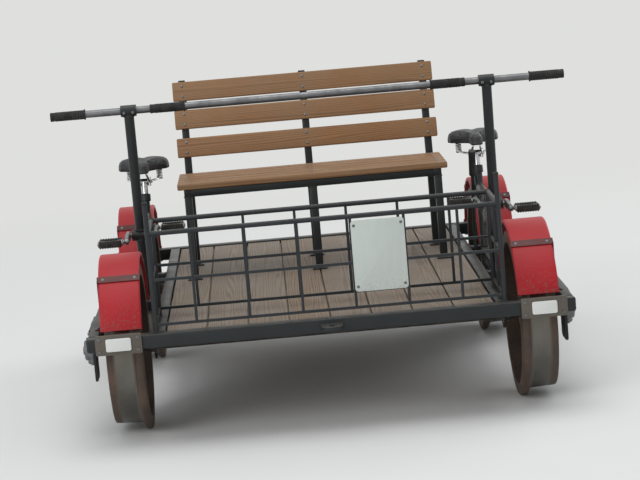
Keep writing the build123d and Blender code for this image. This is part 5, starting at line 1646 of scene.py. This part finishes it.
def upright(bm, foot, low, high, radius):
    """A low round cup on a foot point, between two heights above it."""
    rod(bm, foot + Vector((0, 0, low)), foot + Vector((0, 0, high)), radius, sides=28, edge=0.001)


def saddle_hardware():
    """Plated seat post, toothed clamp, bent wire rails and a coil spring under each rear corner."""
    bm = bmesh.new()
    low_post, top_post = seat_axis(SEAT_TUBE_TOP - 0.080), seat_axis(SEAT_TUBE_TOP + 0.030)
    rod(bm, low_post, CLAMP_AT, POST_R, sides=32)
    neck = CLAMP_AT - (CLAMP_AT - low_post).normalized() * 0.002
    rod(bm, top_post, neck, 0.0140, 0.0115, sides=32, edge=0.001)
    cross_rod(bm, about(CLAMP_AT.x, CLAMP_HALF), CLAMP_AT, POST_R, sides=32, edge=0.0015)
    for way in (-1, 1):
        for near, far in CLAMP_DISCS:
            begin, end = CLAMP_AT + outwards(way, near), CLAMP_AT + outwards(way, far)
            rod(bm, begin, end, CLAMP_DISC_R, sides=36, edge=0.0008)
        bolt(bm, CLAMP_AT + outwards(way, CLAMP_DISCS[1][1]), (way, 0, 0), 0.0075, washer=False)
        wire(bm, [(STATION_X + way * x, y, z) for x, y, z in RAIL_POINTS], WIRE_R)
        foot = Vector((STATION_X + way * SPRING_SPREAD, SPRING_Y, RAIL_Z))
        upright(bm, foot, -0.003, 0.0045, SPRING_CUP_R)
        coil(bm, foot + Vector((0, 0, 0.0035)), 0.0365, 0.0112, 0.0026, 5)
        upright(bm, Vector((foot.x, foot.y, SPRING_TOP)), -0.004, 0, SPRING_CUP_R)
    sided("saddle_hardware", bm, "root", "chrome", ["saddle_post"])


SADDLE_LOW, SADDLE_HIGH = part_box("saddle_right")
SADDLE_SIZE = SADDLE_HIGH - SADDLE_LOW
PAD_VOXEL = 0.005
SWELL_FRAMES = 20
SWELL_LIMIT = 0.008
PAN_THICK = 0.007
CHANNEL_HALF = 0.015
CHANNEL_DEPTH = 0.0045
PIPING_Z = 0.853
PIPING_R = 0.0022
PIPING_STEP = 0.012
STITCH_Z = 0.8585
STITCH_PITCH = 0.0075
STITCH_HALF = 0.0021
STITCH_R = 0.0007


def settle(item):
    """Give the object the mesh that its modifiers make, and take them off."""
    old = item.data
    item.data = evaluated(item)
    item.modifiers.clear()
    bpy.data.meshes.remove(old)


def remeshed(source):
    """An even skin of small cells over a merged copy of a CAD mesh."""
    bm = bmesh.new()
    bm.from_mesh(source)
    bmesh.ops.remove_doubles(bm, verts=bm.verts[:], dist=0.00001)
    item = stand("pad", as_mesh("pad", bm))
    skin = item.modifiers.new("skin", "REMESH")
    skin.mode = "VOXEL"
    skin.voxel_size = PAD_VOXEL
    settle(item)
    return item


def clamped(value):
    """The value, held between 0 and 1."""
    return min(max(value, 0.0), 1.0)


def pad_profile(run):
    """Height of the padding's top from the nose (0) to the rear (1), as a share of its space."""
    if run < 0.45:
        return 0.80 - 0.16 * (run / 0.45)
    return 0.64 + 0.16 * math.sin((run - 0.45) / 0.55 * math.pi / 2)


def shape_pad(mesh):
    """Slope the sides in, drop the middle of the top and leave room for the swelling."""
    middle = (SADDLE_LOW + SADDLE_HIGH) / 2
    for vert in mesh.vertices:
        share = vert.co - SADDLE_LOW
        slope = 0.955 - 0.10 * share.z / SADDLE_SIZE.z
        vert.co.x = middle.x + (vert.co.x - middle.x) * slope
        vert.co.y = middle.y + (vert.co.y - middle.y) * (slope + 0.01)
        profile = pad_profile(clamped(share.y / SADDLE_SIZE.y))
        vert.co.z = SADDLE_LOW.z + PAN_THICK * 0.5 + share.z * profile


def swell(item):
    """Blow the pad up as cloth, and keep every point near its place."""
    start_at = [vert.co.copy() for vert in item.data.vertices]
    cloth = item.modifiers.new("swell", "CLOTH")
    cloth.settings.use_pressure = True
    cloth.settings.uniform_pressure_force = 4.0
    cloth.settings.effector_weights.gravity = 0.0
    cloth.settings.quality = 5
    cloth.point_cache.frame_end = SWELL_FRAMES
    for frame_number in range(1, SWELL_FRAMES + 1):
        bpy.context.scene.frame_set(frame_number)
    settle(item)
    bpy.context.scene.frame_set(1)
    for vert, begin in zip(item.data.vertices, start_at):
        moved = vert.co - begin
        if moved.length > SWELL_LIMIT:
            vert.co = begin + moved.normalized() * SWELL_LIMIT


def finish_pad(item):
    """One subdivision, then a shallow relief channel down the middle and a flat seat on the pan."""
    smooth = item.modifiers.new("smooth", "SUBSURF")
    smooth.levels = smooth.render_levels = 1
    settle(item)
    for vert in item.data.vertices:
        across = (vert.co.x - STATION_X) / CHANNEL_HALF
        run = (vert.co.y - SADDLE_LOW.y) / SADDLE_SIZE.y
        fade = clamped((run - 0.18) / 0.15) * clamped((0.93 - run) / 0.12)
        if vert.co.z > PIPING_Z:
            vert.co.z -= CHANNEL_DEPTH * fade * math.exp(-across ** 2)
        vert.co.z = max(vert.co.z, SADDLE_LOW.z + PAN_THICK * 0.6)


def section(mesh, level):
    """The points of a pad's outline at a height, in order round it."""
    bm = bmesh.new()
    bm.from_mesh(mesh)
    geom = bm.verts[:] + bm.edges[:] + bm.faces[:]
    cut = bmesh.ops.bisect_plane(bm, geom=geom, plane_co=(0, 0, level), plane_no=(0, 0, 1))
    edges = set(only(BM_EDGE, cut["geom_cut"]))
    here = max((vert for edge in edges for vert in edge.verts), key=lambda vert: tuple(vert.co))
    points = []
    while True:
        points.append(here.co.copy())
        onward = [edge for edge in here.link_edges if edge in edges]
        if not onward:
            break
        edges.remove(onward[0])
        here = onward[0].other_vert(here)
    bm.free()
    return points


def spaced(points, pitch):
    """Points at an even pitch round a closed outline, with the direction of the run at each."""
    ring = points if (points[0] - points[-1]).length < 1e-6 else points + points[:1]
    total = sum((b - a).length for a, b in zip(ring, ring[1:]))
    count = max(3, round(total / pitch))
    step = total / count
    found, reach = [], 0.0
    for a, b in zip(ring, ring[1:]):
        length = (b - a).length
        while length and len(found) < count and len(found) * step <= reach + length:
            found.append((a.lerp(b, (len(found) * step - reach) / length), (b - a).normalized()))
        reach += length
    return found


def saddle_pan(pad_mesh):
    """Moulded pan under the padding, to the outline of the padding's foot."""
    outline = spaced(section(pad_mesh, SADDLE_LOW.z + PAN_THICK * 1.6), 0.010)
    pan = bmesh.new()
    base = pan.faces.new([pan.verts.new((*point.xy, SADDLE_LOW.z)) for point, run in outline])
    grown = bmesh.ops.extrude_face_region(pan, geom=[base])
    bmesh.ops.translate(pan, vec=(0, 0, PAN_THICK), verts=only(BM_VERT, grown["geom"]))
    ease(pan, [rim for rim in pan.edges if length_along(rim, 2) < 1e-6], 0.002)
    return pan


def saddles():
    """Padded vinyl saddles, blown up as cloth, with piping, stitching and a moulded pan."""
    item = remeshed(NODES["saddle_right"].data)
    shape_pad(item.data)
    swell(item)
    finish_pad(item)
    trim = bmesh.new()
    piping = spaced(section(item.data, PIPING_Z), PIPING_STEP)
    wire(trim, [point for point, run in piping], PIPING_R, closed=True)
    for point, run in spaced(section(item.data, STITCH_Z), STITCH_PITCH):
        rod(trim, point - run * STITCH_HALF, point + run * STITCH_HALF, STITCH_R, sides=6)
    pan = saddle_pan(item.data)
    pad = bmesh.new()
    pad.from_mesh(item.data)
    bpy.data.objects.remove(item)
    for piece in sided("padded_saddle", pad, "root", "black_vinyl", ["saddle"], sharp_deg=180):
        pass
    sided("saddle_piping", trim, "root", "black_vinyl")
    sided("saddle_pan", pan, "root", "grip_rubber")


saddle_hardware()
saddles()


# Brake
SHAFT_Y, SHAFT_Z = 0.296, 0.322
HANGER_X = 0.612
HANGER_WELD_X = 0.004
HANGER_WELD_HALF = 0.027
HANGER_HEAD_Z = 0.3535
COLLAR_X = (HANGER_X - 0.014, HANGER_X + 0.006)
COLLAR_SECTION = rounded([(0, 12.1, 0), (0, 19, 1), (8, 19, 1), (8, 12.1, 0)])
SHOE_ARM_X = 0.7475
SHOE_ARM_HALF = 0.008
SHOE_BOLT_REACH = 0.066
SHOE_BOLT_Z = 0.315
LEVER_X = 0.651


def brake_fittings():
    """Collars beside the hangers, welds at their heads and bolts through arms and lever boss."""
    bm = bmesh.new()
    for near in COLLAR_X:
        turned(bm, COLLAR_SECTION, (near, SHAFT_Y, SHAFT_Z), steps=28)
    bolt(bm, (HANGER_X - 0.010, SHAFT_Y, SHAFT_Z + 0.0185), (0, 0, 1), 0.004, washer=False)
    for x in about(HANGER_X, HANGER_WELD_X):
        near, far = ((x, y, HANGER_HEAD_Z) for y in about(SHAFT_Y, HANGER_WELD_HALF))
        bead(bm, near, far)
    for x, out in zip(about(SHOE_ARM_X, SHOE_ARM_HALF), (-1, 1)):
        bolt(bm, (x, SHAFT_Y + SHOE_BOLT_REACH, SHOE_BOLT_Z), (out, 0, 0), 0.0065)
    both_sides(bm)
    bolt(bm, (LEVER_X, SHAFT_Y, SHAFT_Z + 0.0195), (0, 0, 1), 0.0045, washer=False)
    make("brake_fittings", bm, "root", "bar_steel")


brake_fittings()


# Camera, floor and light
CAMERA_AT = (-0.188, -9.333, 1.871)
AIM_AT = (0.0, -0.30, 0.585)
LENS_MM = 133.0
SENSOR_MM = 36.0
ROLL_DEG = 4.84
FLOOR_SIZE = 160.0
FLOOR_LIT = (2.2, 6.5)
SKY_STRENGTH = 0.55
BACKDROP = srgb("#dfe0de")
# Place, aim, size and power of each lamp
LAMPS = {
    "overcast_top": ((0.0, -1.0, 12.0), (0.0, 0.0, 0.4), 10.0, 560.0),
    "front_left": ((-6.0, -8.0, 5.0), (0.0, 0.0, 0.6), 6.0, 300.0),
    "rear_right": ((6.0, 6.0, 5.0), (0.0, 0.0, 0.7), 6.0, 160.0),
}


def aimed(place, aim):
    """The matrix that stands a camera or a lamp at a place and points it at another."""
    return Matrix.Translation(place) @ facing(Vector(aim) - Vector(place), "-Z")


def camera():
    """The photograph's viewpoint, turned to the handcar, with the photograph's lean of the horizon."""
    data = bpy.data.cameras.new("camera")
    data.sensor_width = SENSOR_MM
    data.lens = LENS_MM
    data.clip_end = 200.0
    item = stand("camera", data)
    item.matrix_world = aimed(CAMERA_AT, AIM_AT) @ Matrix.Rotation(math.radians(-ROLL_DEG), 4, "Z")
    bpy.context.scene.camera = item


def seen_directly(tree):
    """1 for rays from the eye, from a reflection or through glass, which see the pale backdrop."""
    ray = add(tree, "LightPath").outputs
    plain = add(tree, "Math", {0: ray["Is Camera Ray"], 1: ray["Is Glossy Ray"]}, operation="MAXIMUM")
    either = {0: plain.outputs[0], 1: ray["Is Transmission Ray"]}
    return add(tree, "Math", either, operation="MAXIMUM").outputs[0]


def floor():
    """A plain pale floor that keeps the shadow under the car."""
    bm = bmesh.new()
    bmesh.ops.create_grid(bm, x_segments=1, y_segments=1, size=FLOOR_SIZE / 2)
    item = stand("floor", as_mesh("floor", bm))
    material, tree, shader, place = start("pale_floor", Roughness=0.9, Specular_IOR_Level=0.1)
    mottle = add(tree, "TexNoise", {"Vector": place, "Scale": per_metre(600), "Detail": 4.0}).outputs["Fac"]
    colour = add(tree, "Mix", {0: mottle, 6: srgb("#e4e4e2"), 7: srgb("#e9e9e7")}, data_type="RGBA")
    tree.links.new(colour.outputs[2], shader.inputs["Base Color"])
    reach = add(tree, "VectorMath", {0: place}, operation="LENGTH").outputs["Value"]
    bounds = {"From Min": FLOOR_LIT[0], "From Max": FLOOR_LIT[1]}
    far = add(tree, "MapRange", {"Value": reach, **bounds}).outputs[0]
    seen = add(tree, "Math", {0: far, 1: seen_directly(tree)}, operation="MULTIPLY").outputs[0]
    glow = add(tree, "Emission", {"Color": BACKDROP, "Strength": 1.0}).outputs[0]
    mixed = add(tree, "MixShader", {0: seen, 1: shader.outputs[0], 2: glow}).outputs[0]
    tree.links.new(mixed, tree.nodes["Material Output"].inputs["Surface"])
    item.data.materials.append(material)


def lamps():
    """Large soft lamps, as under an evenly clouded sky."""
    for name, (place, aim, size, power) in LAMPS.items():
        data = bpy.data.lights.new(name, "AREA")
        data.shape = "DISK"
        data.size = size
        data.energy = power
        stand(name, data).matrix_world = aimed(place, aim)


def sky():
    """Soft light from all round; the eye and reflections see a pale backdrop instead of its level."""
    world = bpy.data.worlds.new("sky")
    world.use_nodes = True
    bpy.context.scene.world = world
    tree = world.node_tree
    tree.nodes.clear()
    light = add(tree, "Background", {"Color": srgb("#eef2f6"), "Strength": SKY_STRENGTH}).outputs[0]
    pale = add(tree, "Background", {"Color": BACKDROP, "Strength": 1.0}).outputs[0]
    mixed = add(tree, "MixShader", {0: seen_directly(tree), 1: light, 2: pale})
    add(tree, "OutputWorld", {"Surface": mixed.outputs[0]})


camera()
floor()
lamps()
sky()
bpy.context.scene.view_settings.view_transform = "Standard"
